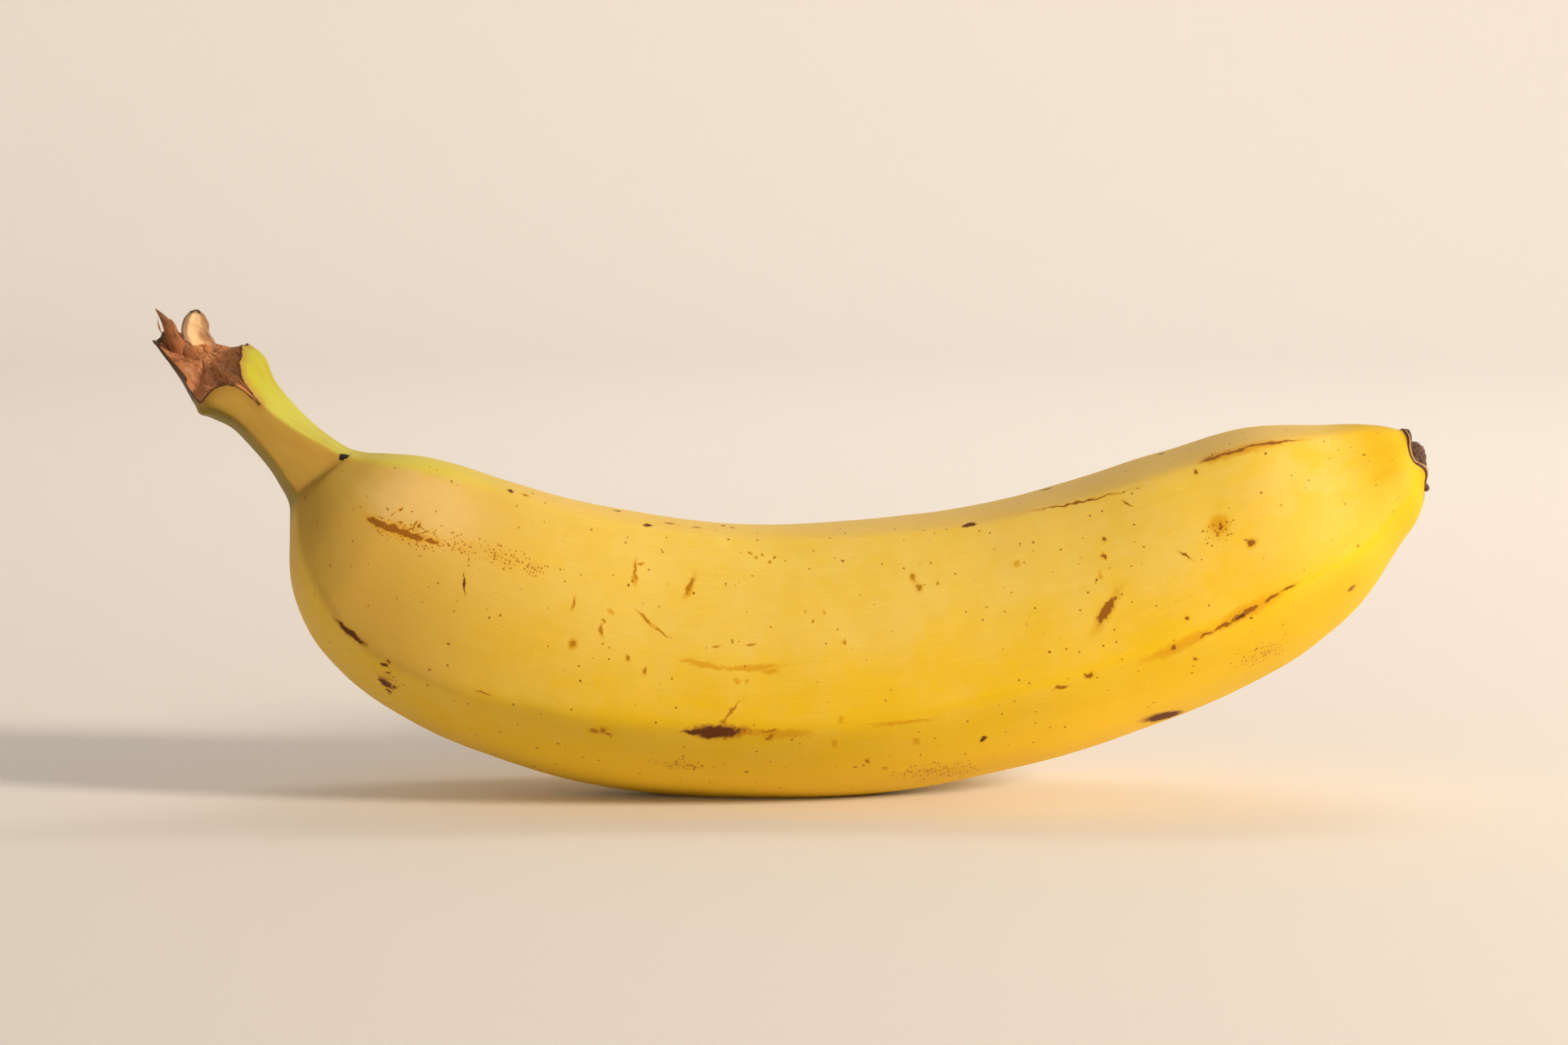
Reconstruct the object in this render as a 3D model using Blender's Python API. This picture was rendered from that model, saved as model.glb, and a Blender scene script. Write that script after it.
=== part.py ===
# Whole banana in its skin, lying on its outer curve with both ends raised.
# Units are metres: mm() turns the millimetres below into them. +X runs from stem to blossom end, +Z up.
# The fruit is one grown piece, so it is one solid.

import bisect
import math
import random

import bmesh
import bpy
from mathutils import Vector

# Ribs across the fruit, from the torn crown to the blossom end, in millimetres.
# Each has its end on the outer curve (x, z), its end on the inner curve (x, z), the half width
# across, and how far the round section gives way to flat faces, from 0 to 1.
RIBS = (
    ("crown tip", (-89.6, 68.9), (-86.5, 71.7), 2.6, 0.55),
    ("crown top", (-88.2, 65.4), (-82.6, 70.5), 4.2, 0.55),
    ("crown middle", (-84.1, 59.8), (-76.8, 66.4), 5.2, 0.60),
    ("crown foot", (-81.2, 55.1), (-72.0, 62.8), 5.8, 0.75),
    ("stem top", (-76.9, 52.8), (-70.2, 58.8), 4.8, 0.85),
    ("stem middle", (-74.5, 50.4), (-68.1, 56.3), 4.5, 0.85),
    ("stem foot", (-70.5, 45.1), (-63.1, 51.9), 5.0, 0.80),
    ("neck", (-68.9, 41.1), (-59.7, 49.8), 6.2, 0.70),
    ("neck fold", (-69.0, 37.7), (-58.2, 49.4), 8.4, 0.60),
    ("shoulder", (-68.9, 31.4), (-54.9, 49.3), 12.2, 0.50),
    ("shoulder end", (-66.5, 24.3), (-50.8, 49.0), 15.2, 0.45),
    ("left quarter", (-61.3, 17.6), (-45.9, 47.9), 16.9, 0.40),
    ("left belly", (-50.6, 10.4), (-38.5, 45.5), 18.2, 0.40),
    ("left middle", (-34.7, 4.2), (-27.4, 42.3), 18.7, 0.40),
    ("middle", (-9.5, 0.1), (-6.7, 39.3), 18.9, 0.40),
    ("right middle", (14.5, 0.8), (11.0, 39.6), 18.8, 0.42),
    ("right belly", (35.0, 4.5), (27.1, 41.6), 18.4, 0.45),
    ("right quarter", (52.0, 9.8), (41.1, 44.9), 17.8, 0.50),
    ("far quarter", (66.6, 16.1), (54.9, 49.4), 16.9, 0.55),
    ("taper", (77.6, 23.0), (67.3, 52.9), 15.0, 0.60),
    ("taper end", (84.4, 29.8), (77.1, 53.4), 11.8, 0.60),
    ("tip", (88.6, 36.8), (83.1, 53.6), 8.6, 0.50),
    ("tip end", (90.7, 40.1), (86.2, 53.3), 6.8, 0.35),
    ("blossom rim", (91.7, 43.2), (88.1, 52.8), 4.8, 0.15),
)

# The five long faces of the skin: the angle that each faces and its distance from the middle.
# Angles here and below: 0 faces -Y, 90 the inner curve, 180 +Y and -90 the outer curve.
FACES = ((90, 0.93), (24, 0.72), (-52, 0.80), (-128, 0.80), (156, 0.72))
RIDGE_HARDNESS = 16  # higher makes the ridges between the faces sharper

POINTS_ROUND = 40
RING_GAP = 0.095  # distance between rings, as a share of the depth

# The stem was torn from its hand. Height of the torn edge above the neck, in mm, by angle:
# low in front, high behind, with a split, a stiff spike and a curled flap.
TEAR_BASE = 12.6
TEAR_EDGE = (
    (-180, 28.9), (-171, 28.8), (-162, 33.3), (-153, 32.2), (-144, 31.3), (-126, 30.4), (-99, 29.9),
    (-90, 28.6), (-81, 26.5), (-72, 22.3), (-63, 19.2), (-45, 19.3), (-18, 19.3), (0, 18.0),
    (9, 15.6), (18, 13.9), (27, 17.0), (45, 20.4), (63, 21.0), (90, 20.6), (108, 21.2), (117, 21.8),
    (126, 23.2), (135, 29.0), (144, 30.9), (153, 31.4), (162, 31.0), (171, 29.6),
)
TEAR_RINGS = 7
TEAR_INSIDE = (0.25, 0.46, 0.66, 0.84)  # rings inside the edge, as shares of the section
TEAR_FLOOR = (23.4, 4.4, 0.8)  # height in the middle, rise to the back, rise to the outer curve
TEAR_CRAG = 0.5  # how far the torn tissue and its edge stray, in mm
WALL_STEEPNESS = 6  # how late the tissue turns up into the torn wall

# The dry stub at the blossom end: share of the rim's radius, and height above the rim in mm.
STUB_RINGS = ((1.0, 0.2), (0.93, 0.5), (0.86, 0.45), (0.80, 1.0), (0.66, 1.3), (0.42, 1.1), (0.2, 0.9))
STUB_LUMP = 0.35  # share by which the stub's height varies round it
STUB_LUMP_ANGLE = -30
STUB_CRAG = 0.1
SEED = 7

FLAT_DEPTH = 0.7  # how much the fruit's own weight flattens the skin where it rests
MIDDLE_X = 2.32  # x of the middle of the whole length, seen from the lowest point

SKIN_COLOUR = (0.82, 0.52, 0.06, 1.0)
SKIN_ROUGHNESS = 0.48
SHARP_EDGE = 40


def mm(value):
    return value / 1000


def slopes(knots, values):
    """Slope of a smooth line through the values, at each knot."""
    steps = [
        (b - a) / (k2 - k1)
        for a, b, k1, k2 in zip(values, values[1:], knots, knots[1:])
    ]
    gaps = [k2 - k1 for k1, k2 in zip(knots, knots[1:])]
    inner = [
        (steps[i] * gaps[i + 1] + steps[i + 1] * gaps[i]) / (gaps[i] + gaps[i + 1])
        for i in range(len(steps) - 1)
    ]
    return [steps[0], *inner, steps[-1]]


def smooth_line(knots, values):
    """A function that runs smoothly through the values at the knots."""
    slope = slopes(knots, values)

    def at(k):
        i = min(max(bisect.bisect_right(knots, k) - 1, 0), len(knots) - 2)
        gap = knots[i + 1] - knots[i]
        t = min(max((k - knots[i]) / gap, 0.0), 1.0)
        return (
            (2 * t**3 - 3 * t**2 + 1) * values[i]
            + (t**3 - 2 * t**2 + t) * gap * slope[i]
            + (3 * t**2 - 2 * t**3) * values[i + 1]
            + (t**3 - t**2) * gap * slope[i + 1]
        )

    return at


def rib_middle(rib):
    (outer_x, outer_z), (inner_x, inner_z) = rib[1], rib[2]
    return Vector(((outer_x + inner_x) / 2, (outer_z + inner_z) / 2))


def rib_places():
    """Distance of each rib along the middle of the fruit, 0 at the neck."""
    places = [0.0]
    for before, after in zip(RIBS, RIBS[1:]):
        places.append(places[-1] + (rib_middle(after) - rib_middle(before)).length)
    neck = places[[rib[0] for rib in RIBS].index("neck")]
    return [place - neck for place in places]


PLACES = rib_places()
OUTER_X = smooth_line(PLACES, [rib[1][0] for rib in RIBS])
OUTER_Z = smooth_line(PLACES, [rib[1][1] for rib in RIBS])
INNER_X = smooth_line(PLACES, [rib[2][0] for rib in RIBS])
INNER_Z = smooth_line(PLACES, [rib[2][1] for rib in RIBS])
HALF_WIDTH = smooth_line(PLACES, [rib[3] for rib in RIBS])
FLATNESS = smooth_line(PLACES, [rib[4] for rib in RIBS])
ANGLES = [360 * i / POINTS_ROUND - 180 for i in range(POINTS_ROUND)]


def face_reach(angle):
    """Distance from the middle to the softened five-sided outline, at an angle."""
    total = 0.0
    for facing, distance in FACES:
        towards = max(0.0, math.cos(math.radians(angle - facing)))
        total += (towards / distance) ** RIDGE_HARDNESS
    return total ** (-1 / RIDGE_HARDNESS)


FURTHEST_REACH = max(face_reach(angle) for angle in range(-180, 180))


def section_point(angle, flatness):
    """(across, up) of the section's outline at an angle, before it is fitted to its rib."""
    reach = 1 - flatness + flatness * face_reach(angle) / FURTHEST_REACH
    turned = math.radians(angle)
    return -math.cos(turned) * reach, math.sin(turned) * reach


def section_limits(flatness):
    outline = [section_point(angle, flatness) for angle in range(-180, 180, 3)]
    return (
        max(across for across, _ in outline),
        min(up for _, up in outline),
        max(up for _, up in outline),
    )


def skin_point(place, angle, share=1.0):
    """Point of the skin at a place along the fruit and an angle round it. A share under 1 is nearer the middle."""
    flatness = FLATNESS(place)
    widest, lowest, highest = section_limits(flatness)
    across, up = section_point(angle, flatness)
    up = 2 * (up - lowest) / (highest - lowest) - 1
    outer = Vector((OUTER_X(place), 0.0, OUTER_Z(place)))
    inner = Vector((INNER_X(place), 0.0, INNER_Z(place)))
    middle, half_depth = (outer + inner) / 2, (inner - outer) / 2
    sideways = Vector((0.0, HALF_WIDTH(place) * across / widest, 0.0))
    return middle + share * (up * half_depth + sideways)


def ring_places():
    """Places of the rings from the foot of the tear to the blossom rim, closer where the fruit is thin."""
    places, place = [], -TEAR_BASE
    while place < PLACES[-1]:
        places.append(place)
        depth = math.hypot(INNER_X(place) - OUTER_X(place), INNER_Z(place) - OUTER_Z(place))
        place += RING_GAP * depth
    places[-1] = PLACES[-1]
    return places


def tear_heights(crags):
    """Height of the torn edge above the neck at each angle, slightly uneven."""
    first_angle, first_height = TEAR_EDGE[0]
    corners = (*TEAR_EDGE, (first_angle + 360, first_height))
    edge = smooth_line([angle for angle, _ in corners], [height for _, height in corners])
    return [edge(angle) + crags.uniform(-TEAR_CRAG, TEAR_CRAG) / 2 for angle in ANGLES]


def tear_rings(crags):
    """Rings of the torn end, from its middle out to the edge and down to the foot of the tear."""
    heights = tear_heights(crags)
    rings = []
    for share in TEAR_INSIDE:
        ring = []
        for angle, height in zip(ANGLES, heights):
            turned = math.radians(angle)
            middle, to_back, to_outer = TEAR_FLOOR
            floor = middle - share * (to_back * math.cos(turned) + to_outer * math.sin(turned))
            floor += crags.uniform(-TEAR_CRAG, TEAR_CRAG)
            wall = share**WALL_STEEPNESS
            ring.append(skin_point(-(floor + (height - floor) * wall), angle, share))
        rings.append(ring)
    for step in range(TEAR_RINGS):
        part = 1 - step / TEAR_RINGS
        rings.append(
            [
                skin_point(-(TEAR_BASE + (height - TEAR_BASE) * part), angle)
                for angle, height in zip(ANGLES, heights)
            ]
        )
    return rings


def stub_rings(crags):
    """Rings of the dry stub, from the blossom rim to its middle."""
    end = PLACES[-1]
    across_rib = Vector((INNER_X(end) - OUTER_X(end), 0, INNER_Z(end) - OUTER_Z(end)))
    outwards = Vector((across_rib.z, 0, -across_rib.x)).normalized()
    rings = []
    for share, height in STUB_RINGS:
        ring = []
        for angle in ANGLES:
            lump = math.cos(math.radians(angle - STUB_LUMP_ANGLE))
            rise = height * (1 + STUB_LUMP * lump * share) + crags.uniform(-STUB_CRAG, STUB_CRAG)
            ring.append(skin_point(end, angle, share) + rise * outwards)
        rings.append(ring)
    return rings


def add_ring(mesh, points):
    return [mesh.verts.new(point) for point in points]


def join_rings(mesh, first, second):
    for i, j in zip(range(-1, POINTS_ROUND - 1), range(POINTS_ROUND)):
        mesh.faces.new((first[i], first[j], second[j], second[i]))


def close_ring(mesh, ring, turned):
    middle = sum((vert.co for vert in ring), Vector()) / POINTS_ROUND
    pole = mesh.verts.new(middle)
    for i, j in zip(range(-1, POINTS_ROUND - 1), range(POINTS_ROUND)):
        corners = (ring[i], ring[j]) if turned else (ring[j], ring[i])
        mesh.faces.new((*corners, pole))


def rest_on_floor(mesh):
    """Cuts the lowest sliver away, which leaves the small flat that the fruit rests on."""
    lowest = min(vert.co.z for vert in mesh.verts)
    level = lowest + FLAT_DEPTH
    cut = bmesh.ops.bisect_plane(
        mesh,
        geom=[*mesh.verts, *mesh.edges, *mesh.faces],
        plane_co=(0, 0, level),
        plane_no=(0, 0, 1),
        clear_inner=True,
    )
    rim = [item for item in cut["geom_cut"] if isinstance(item, bmesh.types.BMEdge)]
    bmesh.ops.contextual_create(mesh, geom=rim)
    bmesh.ops.translate(mesh, verts=mesh.verts, vec=(-MIDDLE_X, 0, -level))


def banana_mesh():
    crags = random.Random(SEED)
    mesh = bmesh.new()
    places = ring_places()
    points = tear_rings(crags)
    points += [[skin_point(place, angle) for angle in ANGLES] for place in places]
    points += stub_rings(crags)
    rings = [add_ring(mesh, ring) for ring in points]
    for first, second in zip(rings, rings[1:]):
        join_rings(mesh, first, second)
    close_ring(mesh, rings[0], turned=False)
    close_ring(mesh, rings[-1], turned=True)
    bmesh.ops.recalc_face_normals(mesh, faces=mesh.faces)
    rest_on_floor(mesh)
    bmesh.ops.scale(mesh, verts=mesh.verts, vec=(mm(1), mm(1), mm(1)))
    return mesh


def skin_material():
    material = bpy.data.materials.new("banana_skin")
    material.use_nodes = True
    shader = material.node_tree.nodes["Principled BSDF"]
    shader.inputs["Base Color"].default_value = SKIN_COLOUR
    shader.inputs["Roughness"].default_value = SKIN_ROUGHNESS
    shader.inputs["Metallic"].default_value = 0.0
    return material


def build_banana():
    mesh = banana_mesh()
    data = bpy.data.meshes.new("banana")
    mesh.to_mesh(data)
    mesh.free()
    data.shade_smooth()
    data.set_sharp_from_angle(angle=math.radians(SHARP_EDGE))
    data.materials.append(skin_material())
    banana = bpy.data.objects.new("banana", data)
    bpy.context.scene.collection.objects.link(banana)


for old in list(bpy.data.objects):
    bpy.data.objects.remove(old)
build_banana()
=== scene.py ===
# A whole ripe banana: a peel lofted over its ribs, with a torn stem end and a dry blossom end.
import math
import random

import bpy
import numpy as np
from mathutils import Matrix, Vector, noise


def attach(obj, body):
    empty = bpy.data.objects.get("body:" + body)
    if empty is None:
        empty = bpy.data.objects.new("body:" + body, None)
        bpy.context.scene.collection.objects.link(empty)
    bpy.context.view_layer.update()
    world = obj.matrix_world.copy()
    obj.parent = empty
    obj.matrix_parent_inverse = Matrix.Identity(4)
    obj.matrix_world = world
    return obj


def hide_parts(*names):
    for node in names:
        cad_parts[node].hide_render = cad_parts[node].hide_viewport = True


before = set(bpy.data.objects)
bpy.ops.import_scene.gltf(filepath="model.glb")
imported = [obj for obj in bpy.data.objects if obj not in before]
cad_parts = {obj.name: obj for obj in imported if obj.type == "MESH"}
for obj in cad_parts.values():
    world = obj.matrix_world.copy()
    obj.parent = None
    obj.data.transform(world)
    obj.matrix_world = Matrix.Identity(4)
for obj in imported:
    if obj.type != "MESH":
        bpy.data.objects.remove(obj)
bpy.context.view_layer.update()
print("frame loaded")

# Lengths are in mm until a mesh is made. A place is a distance along the fruit: 0 at the neck, minus
# towards the torn end. An angle goes round it: 0 faces the camera, 90 the inner curve, -90 the floor.
millimetre = 0.001
weldReach = 0.002

fruit = {
    # rib: end on the outer curve, end on the inner curve, half width, flatness, five ridge angles
    "ribs": (
        ((-89.1, 68.7), (-86.3, 71.5), 2.6, 0.45, (30, -36, -108, -180, 108)),
        ((-87.8, 65.2), (-82.6, 70.5), 4.2, 0.50, (30, -36, -108, -180, 108)),
        ((-84.1, 59.8), (-76.8, 66.4), 5.2, 0.60, (28, -36, -108, -180, 108)),
        ((-81.2, 55.1), (-72.0, 62.8), 5.8, 0.75, (26, -34, -108, -180, 108)),
        ((-76.9, 52.8), (-70.2, 58.8), 4.8, 0.90, (26, -30, -108, -180, 108)),
        ((-74.5, 50.4), (-68.1, 56.3), 4.5, 0.90, (30, -29, -108, -180, 108)),
        ((-70.5, 45.1), (-63.1, 51.9), 5.0, 0.85, (50, -33, -106, -178, 108)),
        ((-68.9, 41.1), (-59.7, 49.8), 6.2, 0.75, (60, -31, -104, -176, 108)),
        ((-69.0, 37.7), (-58.2, 49.4), 8.4, 0.60, (64, -30, -102, -174, 109)),
        ((-68.9, 31.4), (-54.9, 49.3), 12.2, 0.50, (67, -29, -98, -170, 110)),
        ((-66.5, 24.3), (-50.8, 49.0), 15.2, 0.45, (69, -30, -95, -168, 110)),
        ((-61.3, 17.6), (-45.9, 47.9), 16.9, 0.40, (71, -32, -93, -166, 110)),
        ((-50.6, 10.4), (-38.5, 45.5), 18.2, 0.40, (74, -28, -91, -163, 110)),
        ((-34.7, 4.2), (-27.4, 42.3), 18.7, 0.40, (73, -22, -90, -162, 110)),
        ((-9.5, 0.1), (-6.7, 39.3), 18.9, 0.40, (72, -18, -90, -162, 110)),
        ((14.5, 0.8), (11.0, 39.6), 18.8, 0.42, (69, -18, -90, -162, 110)),
        ((35.0, 4.5), (27.1, 41.6), 18.4, 0.45, (66, -15.5, -90, -162, 110)),
        ((52.0, 9.8), (41.1, 44.9), 17.8, 0.50, (63.5, -15, -90, -162, 110)),
        ((66.6, 16.1), (54.9, 49.4), 16.9, 0.55, (61, -16, -90, -162, 110)),
        ((77.6, 23.0), (67.3, 52.9), 15.0, 0.60, (61.5, -17, -90, -162, 110)),
        ((84.4, 29.8), (77.1, 53.4), 11.8, 0.60, (64, -19, -90, -162, 110)),
        ((88.6, 36.8), (83.1, 53.6), 8.6, 0.50, (67, -20, -90, -162, 110)),
        ((90.7, 40.1), (86.2, 53.3), 6.8, 0.35, (67, -20, -90, -162, 110)),
        ((91.7, 43.2), (88.1, 52.8), 4.8, 0.15, (67, -20, -90, -162, 110)),
    ),
    "neckRib": 7,
    "middle": 2.32,  # x of the middle of the whole length, seen from the lowest point
    "restLevel": 0.5895,  # z of the floor: the fruit's weight flattens the skin where it rests
    "ridgeHardness": 18,
    "tableSteps": 500,
}


def smoothLine(knots, values):
    # a cubic line through the values, with an even slope at each knot
    knots, values = np.array(knots, float), np.array(values, float)
    gaps = np.diff(knots)
    steps = np.diff(values) / gaps
    inner = (steps[:-1] * gaps[1:] + steps[1:] * gaps[:-1]) / (gaps[:-1] + gaps[1:])
    slope = np.concatenate([steps[:1], inner, steps[-1:]])

    def at(place):
        i = np.clip(np.searchsorted(knots, place, side="right") - 1, 0, len(gaps) - 1)
        t = np.clip((place - knots[i]) / gaps[i], 0, 1)
        return (
            (2 * t**3 - 3 * t**2 + 1) * values[i]
            + (t**3 - 2 * t**2 + t) * gaps[i] * slope[i]
            + (3 * t**2 - 2 * t**3) * values[i + 1]
            + (t**3 - t**2) * gaps[i] * slope[i + 1]
        )

    return at


def smoothPath(knots, points, places):
    # points on the smooth line that runs through the given ones
    return np.stack([smoothLine(knots, points[:, i])(places) for i in range(3)], -1)


def distancesAlong(points):
    return np.concatenate([[0], np.cumsum(np.linalg.norm(np.diff(points, axis=0), axis=1))])


outerEnds = np.array([rib[0] for rib in fruit["ribs"]])
innerEnds = np.array([rib[1] for rib in fruit["ribs"]])
ribMiddles = (outerEnds + innerEnds) / 2
ribPlaces = distancesAlong(ribMiddles)
ribPlaces -= ribPlaces[fruit["neckRib"]]
blossomPlace = ribPlaces[-1]
blossomWay = np.insert(ribMiddles[-1] - ribMiddles[-2], 1, 0) / (ribPlaces[-1] - ribPlaces[-2])

outerX = smoothLine(ribPlaces, outerEnds[:, 0] - fruit["middle"])
outerZ = smoothLine(ribPlaces, outerEnds[:, 1] - fruit["restLevel"])
innerX = smoothLine(ribPlaces, innerEnds[:, 0] - fruit["middle"])
innerZ = smoothLine(ribPlaces, innerEnds[:, 1] - fruit["restLevel"])
halfWidth = smoothLine(ribPlaces, [rib[2] for rib in fruit["ribs"]])
flatness = smoothLine(ribPlaces, [rib[3] for rib in fruit["ribs"]])
ridges = [smoothLine(ribPlaces, [rib[4][i] for rib in fruit["ribs"]]) for i in range(5)]


def facetReach(place, angle):
    # distance from the middle to a softened five-sided outline, at each angle
    turns = [ridge(place) for ridge in ridges]
    turns.append(turns[0] - 360)
    turns[4] = turns[4] - 360
    total = 0
    for first, second in zip(turns, turns[1:]):
        facing, halfSpan = (first + second) / 2, (first - second) / 2
        towards = np.cos(np.radians(angle - facing)).clip(0)
        total = total + (towards / np.cos(np.radians(halfSpan))) ** fruit["ridgeHardness"]
    return total ** (-1 / fruit["ridgeHardness"])


tablePlaces = np.linspace(ribPlaces[0], blossomPlace, fruit["tableSteps"])[:, None]
tableAngles = np.arange(-180, 180, 2)[None, :]
tableReach = facetReach(tablePlaces, tableAngles)
longest = tableReach.max(1)


def outline(place, angle):
    # across and up, before they are fitted to the rib
    flat = flatness(place)
    reach = 1 - flat + flat * facetReach(place, angle) / np.interp(place, tablePlaces[:, 0], longest)
    return -np.cos(np.radians(angle)) * reach, np.sin(np.radians(angle)) * reach


tableAcross, tableUp = outline(tablePlaces, tableAngles)
widest = np.abs(tableAcross).max(1)
lowest, highest = tableUp.min(1), tableUp.max(1)


def peelPoints(place, angle, share=1.0):
    # points of the peel, or at a share under 1 of points nearer the middle of the section
    place, angle, share = np.broadcast_arrays(place, angle, share)
    across, up = outline(place, angle)
    low = np.interp(place, tablePlaces[:, 0], lowest)
    high = np.interp(place, tablePlaces[:, 0], highest)
    up = 2 * (up - low) / (high - low) - 1
    across = across / np.interp(place, tablePlaces[:, 0], widest)
    outX, inX, outZ, inZ = (line(place) for line in (outerX, innerX, outerZ, innerZ))
    alongX = (inX + outX) / 2 + share * up * ((inX - outX) / 2)
    alongZ = (inZ + outZ) / 2 + share * up * ((inZ - outZ) / 2)
    points = np.stack([alongX, share * across * halfWidth(place), alongZ], axis=-1)
    return points + (place - blossomPlace).clip(0)[..., None] * blossomWay


print("ribs read, length along the middle", round(float(blossomPlace - ribPlaces[0]), 1))


def eased(values, start, end):
    # 0 before start, 1 after end, smooth between them
    t = np.clip((values - start) / (end - start), 0, 1)
    return t * t * (3 - 2 * t)


def noiseAt(points, size, seed):
    # smooth noise from about -1 to 1 at every point of an array, with bumps of a size in mm
    spots = (points / size).reshape(-1, 3) + seed
    return np.array([noise.noise(Vector(spot)) for spot in spots]).reshape(points.shape[:-1])


def bumpsAt(points, bumps, seed):
    # bumps of several sizes on top of each other, each size with its height
    return sum(height * noiseAt(points, size, seed + size) for size, height in bumps)


def sheetNormals(points):
    # outward normals of a rolled-up sheet, whose first and last columns are the same points
    alongRows = np.gradient(points, axis=0)
    ring = points[:, :-1]
    roundRow = np.roll(ring, -1, axis=1) - np.roll(ring, 1, axis=1)
    roundRow = np.concatenate([roundRow, roundRow[:, :1]], axis=1)
    normals = np.cross(alongRows, roundRow)
    return normals / np.linalg.norm(normals, axis=-1, keepdims=True).clip(1e-9)


def gridPiece(name, points, layout=None, facts=None, rolled=True):
    # a flat grid is laid over the points; where it is rolled up, its seam and its poles are welded
    rows, turns = points.shape[0] - 1, points.shape[1] - 1
    bpy.ops.object.select_all(action="DESELECT")
    bpy.ops.mesh.primitive_grid_add(x_subdivisions=rows, y_subdivisions=turns, size=1)
    made = bpy.context.object
    made.name = made.data.name = name
    mesh = made.data
    flat = np.empty(len(mesh.vertices) * 3, np.float32)
    mesh.vertices.foreach_get("co", flat)
    flat = flat.reshape(-1, 3).astype(float) + 0.5
    row, turn = np.rint(flat[:, 0] * rows).astype(int), np.rint(flat[:, 1] * turns).astype(int)
    mesh.vertices.foreach_set("co", (points[row, turn] * millimetre).astype(np.float32).ravel())
    if layout is not None:
        corners = np.empty(len(mesh.loops), np.int32)
        mesh.loops.foreach_get("vertex_index", corners)
        mesh.uv_layers[0].name = "peelMap"
        mesh.uv_layers[0].uv.foreach_set(
            "vector", layout[row[corners], turn[corners]].astype(np.float32).ravel()
        )
    for fact, values in (facts or {}).items():
        kept = mesh.attributes.new(fact, "FLOAT", "POINT")
        kept.data.foreach_set("value", values[row, turn].astype(np.float32))
    if rolled:
        bpy.ops.object.mode_set(mode="EDIT")
        bpy.ops.mesh.select_all(action="SELECT")
        bpy.ops.mesh.remove_doubles(threshold=weldReach * millimetre)
        bpy.ops.mesh.normals_make_consistent(inside=False)
        bpy.ops.object.mode_set(mode="OBJECT")
    bpy.ops.object.shade_smooth()
    return made


def finishPiece(piece, slot, *materials):
    piece.data.materials.clear()
    for material in materials:
        piece.data.materials.append(material)
    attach(piece, "root")


tear = {
    # height of the torn edge above the neck, by angle: an arch in front, a split, a knob and a high back
    "edge": (
        (-180, 28.2), (-171, 28.6), (-164, 30.0), (-158, 31.0), (-150, 30.6), (-140, 30.8), (-126, 30.4),
        (-108, 30.5), (-95, 30.2), (-85, 30.6), (-76, 30.4), (-66, 30.2), (-60, 29.4), (-57, 27.9),
        (-54.5, 25.4), (-52.5, 22.6), (-50.5, 20.2), (-47, 19.35), (-39, 19.25), (-26.5, 19.55),
        (-12, 19.6), (-2, 19.25), (6, 18.8), (12.5, 17.9), (16.5, 16.8), (19, 15.3), (20.6, 13.7),
        (21.6, 13.7), (22.2, 15.0), (22.8, 16.6), (23.8, 17.9), (26, 18.6), (36, 19.75), (46, 20.3),
        (56, 20.6), (70, 21.2), (80, 21.6), (86, 21.8), (91, 21.5), (102, 21.4), (117, 21.4),
        (126, 21.6), (140, 22.7), (149, 23.5), (156, 24.2), (165, 25.6), (174, 27.2), (180, 28.2),
    ),
    "foot": 12.4,
    "rows": 54,
    "crag": 0.22,
    "cragRing": 5,
    "crags": ((1.1, 3.1, 1.0), (0.4, 7.7, 0.5)),  # size, seed and share
    "archMiddle": -22,
    "archReach": (26, 40),  # the crags grow between these angles from the middle of the clean arch
    # rows inside the edge: share of the section, and height above the edge
    "lip": (
        (0.0, -9.0), (0.5, -8.6), (0.84, -7.0), (0.86, -4.0), (0.87, -1.6), (0.885, -0.5), (0.91, -0.12),
        (0.945, 0.0), (0.98, -0.03),
    ),
}

blossom = {
    # how far the skin's rim runs beyond its last rib, by angle
    "rim": (
        (-180, 0.3), (-135, -0.2), (-90, -0.2), (-65, -0.4), (-51, -0.25), (-34, 0.35), (-22, 0.85),
        (-12, 0.9), (-2, 0.45), (9, -0.2), (24, -0.4), (38, -0.15), (51, 0.25), (70, 0.3), (90, 0.2),
        (120, -0.3), (150, 0.1), (180, 0.3),
    ),
    "rimFade": 9.0,
    # rows of the dry lip past the rim: share of the section, and height beyond the rim
    "lip": (
        (0.985, 0.14), (0.95, 0.36), (0.9, 0.44), (0.84, 0.26), (0.78, -0.3), (0.6, -0.9), (0.0, -1.2),
    ),
}

peel = {
    "turns": 208,
    "fineTurns": 1441,
    "bodyRows": 340,
    "closer": ((20.5, 4.0, 3.5), (-54.0, 4.0, 1.6)),  # angle, width, how much closer the columns are
    "marksAtOnce": 8,
    "mapRadius": 18.0,  # the map's second number is an arc at this radius
    "waves": ((22.0, 0.24), (9.0, 0.09), (2.6, 0.022)),  # size and height of its unevenness
    "waveSeed": 11.3,
    "foldHeight": 0.7,
    "foldPlace": (-0.5, 0.35),
    "foldFade": (1.0, 8.0),
    "foldNarrowing": 1.5,
    "tipWrinkle": 0.06,
    "tipReach": (14, 1),  # the wrinkles grow between these distances from the blossom end
    "wrinkles": ((5, 0.6, 1.0), (9, 2.0, 0.5)),  # how many go round, their turn and their share
    # how wide the ridges are, and from where to where each facet's own look grows
    "ridgeWidths": (0.9, 1.2),
    "upperFacet": (-0.4, 0.6),
    "lowerFacet": (-1.0, 1.6),
    "backAngles": (145, 176),
    "edgeReach": 8.0,
    # swells and pinches of the stem: place, reach along, angle, reach round, height
    "knobs": ((-16.4, 1.9, 80, 45, -0.4), (-18.3, 0.9, -72, 34, 0.6), (-30.0, 3.5, -95, 50, -0.5)),
}


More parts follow.
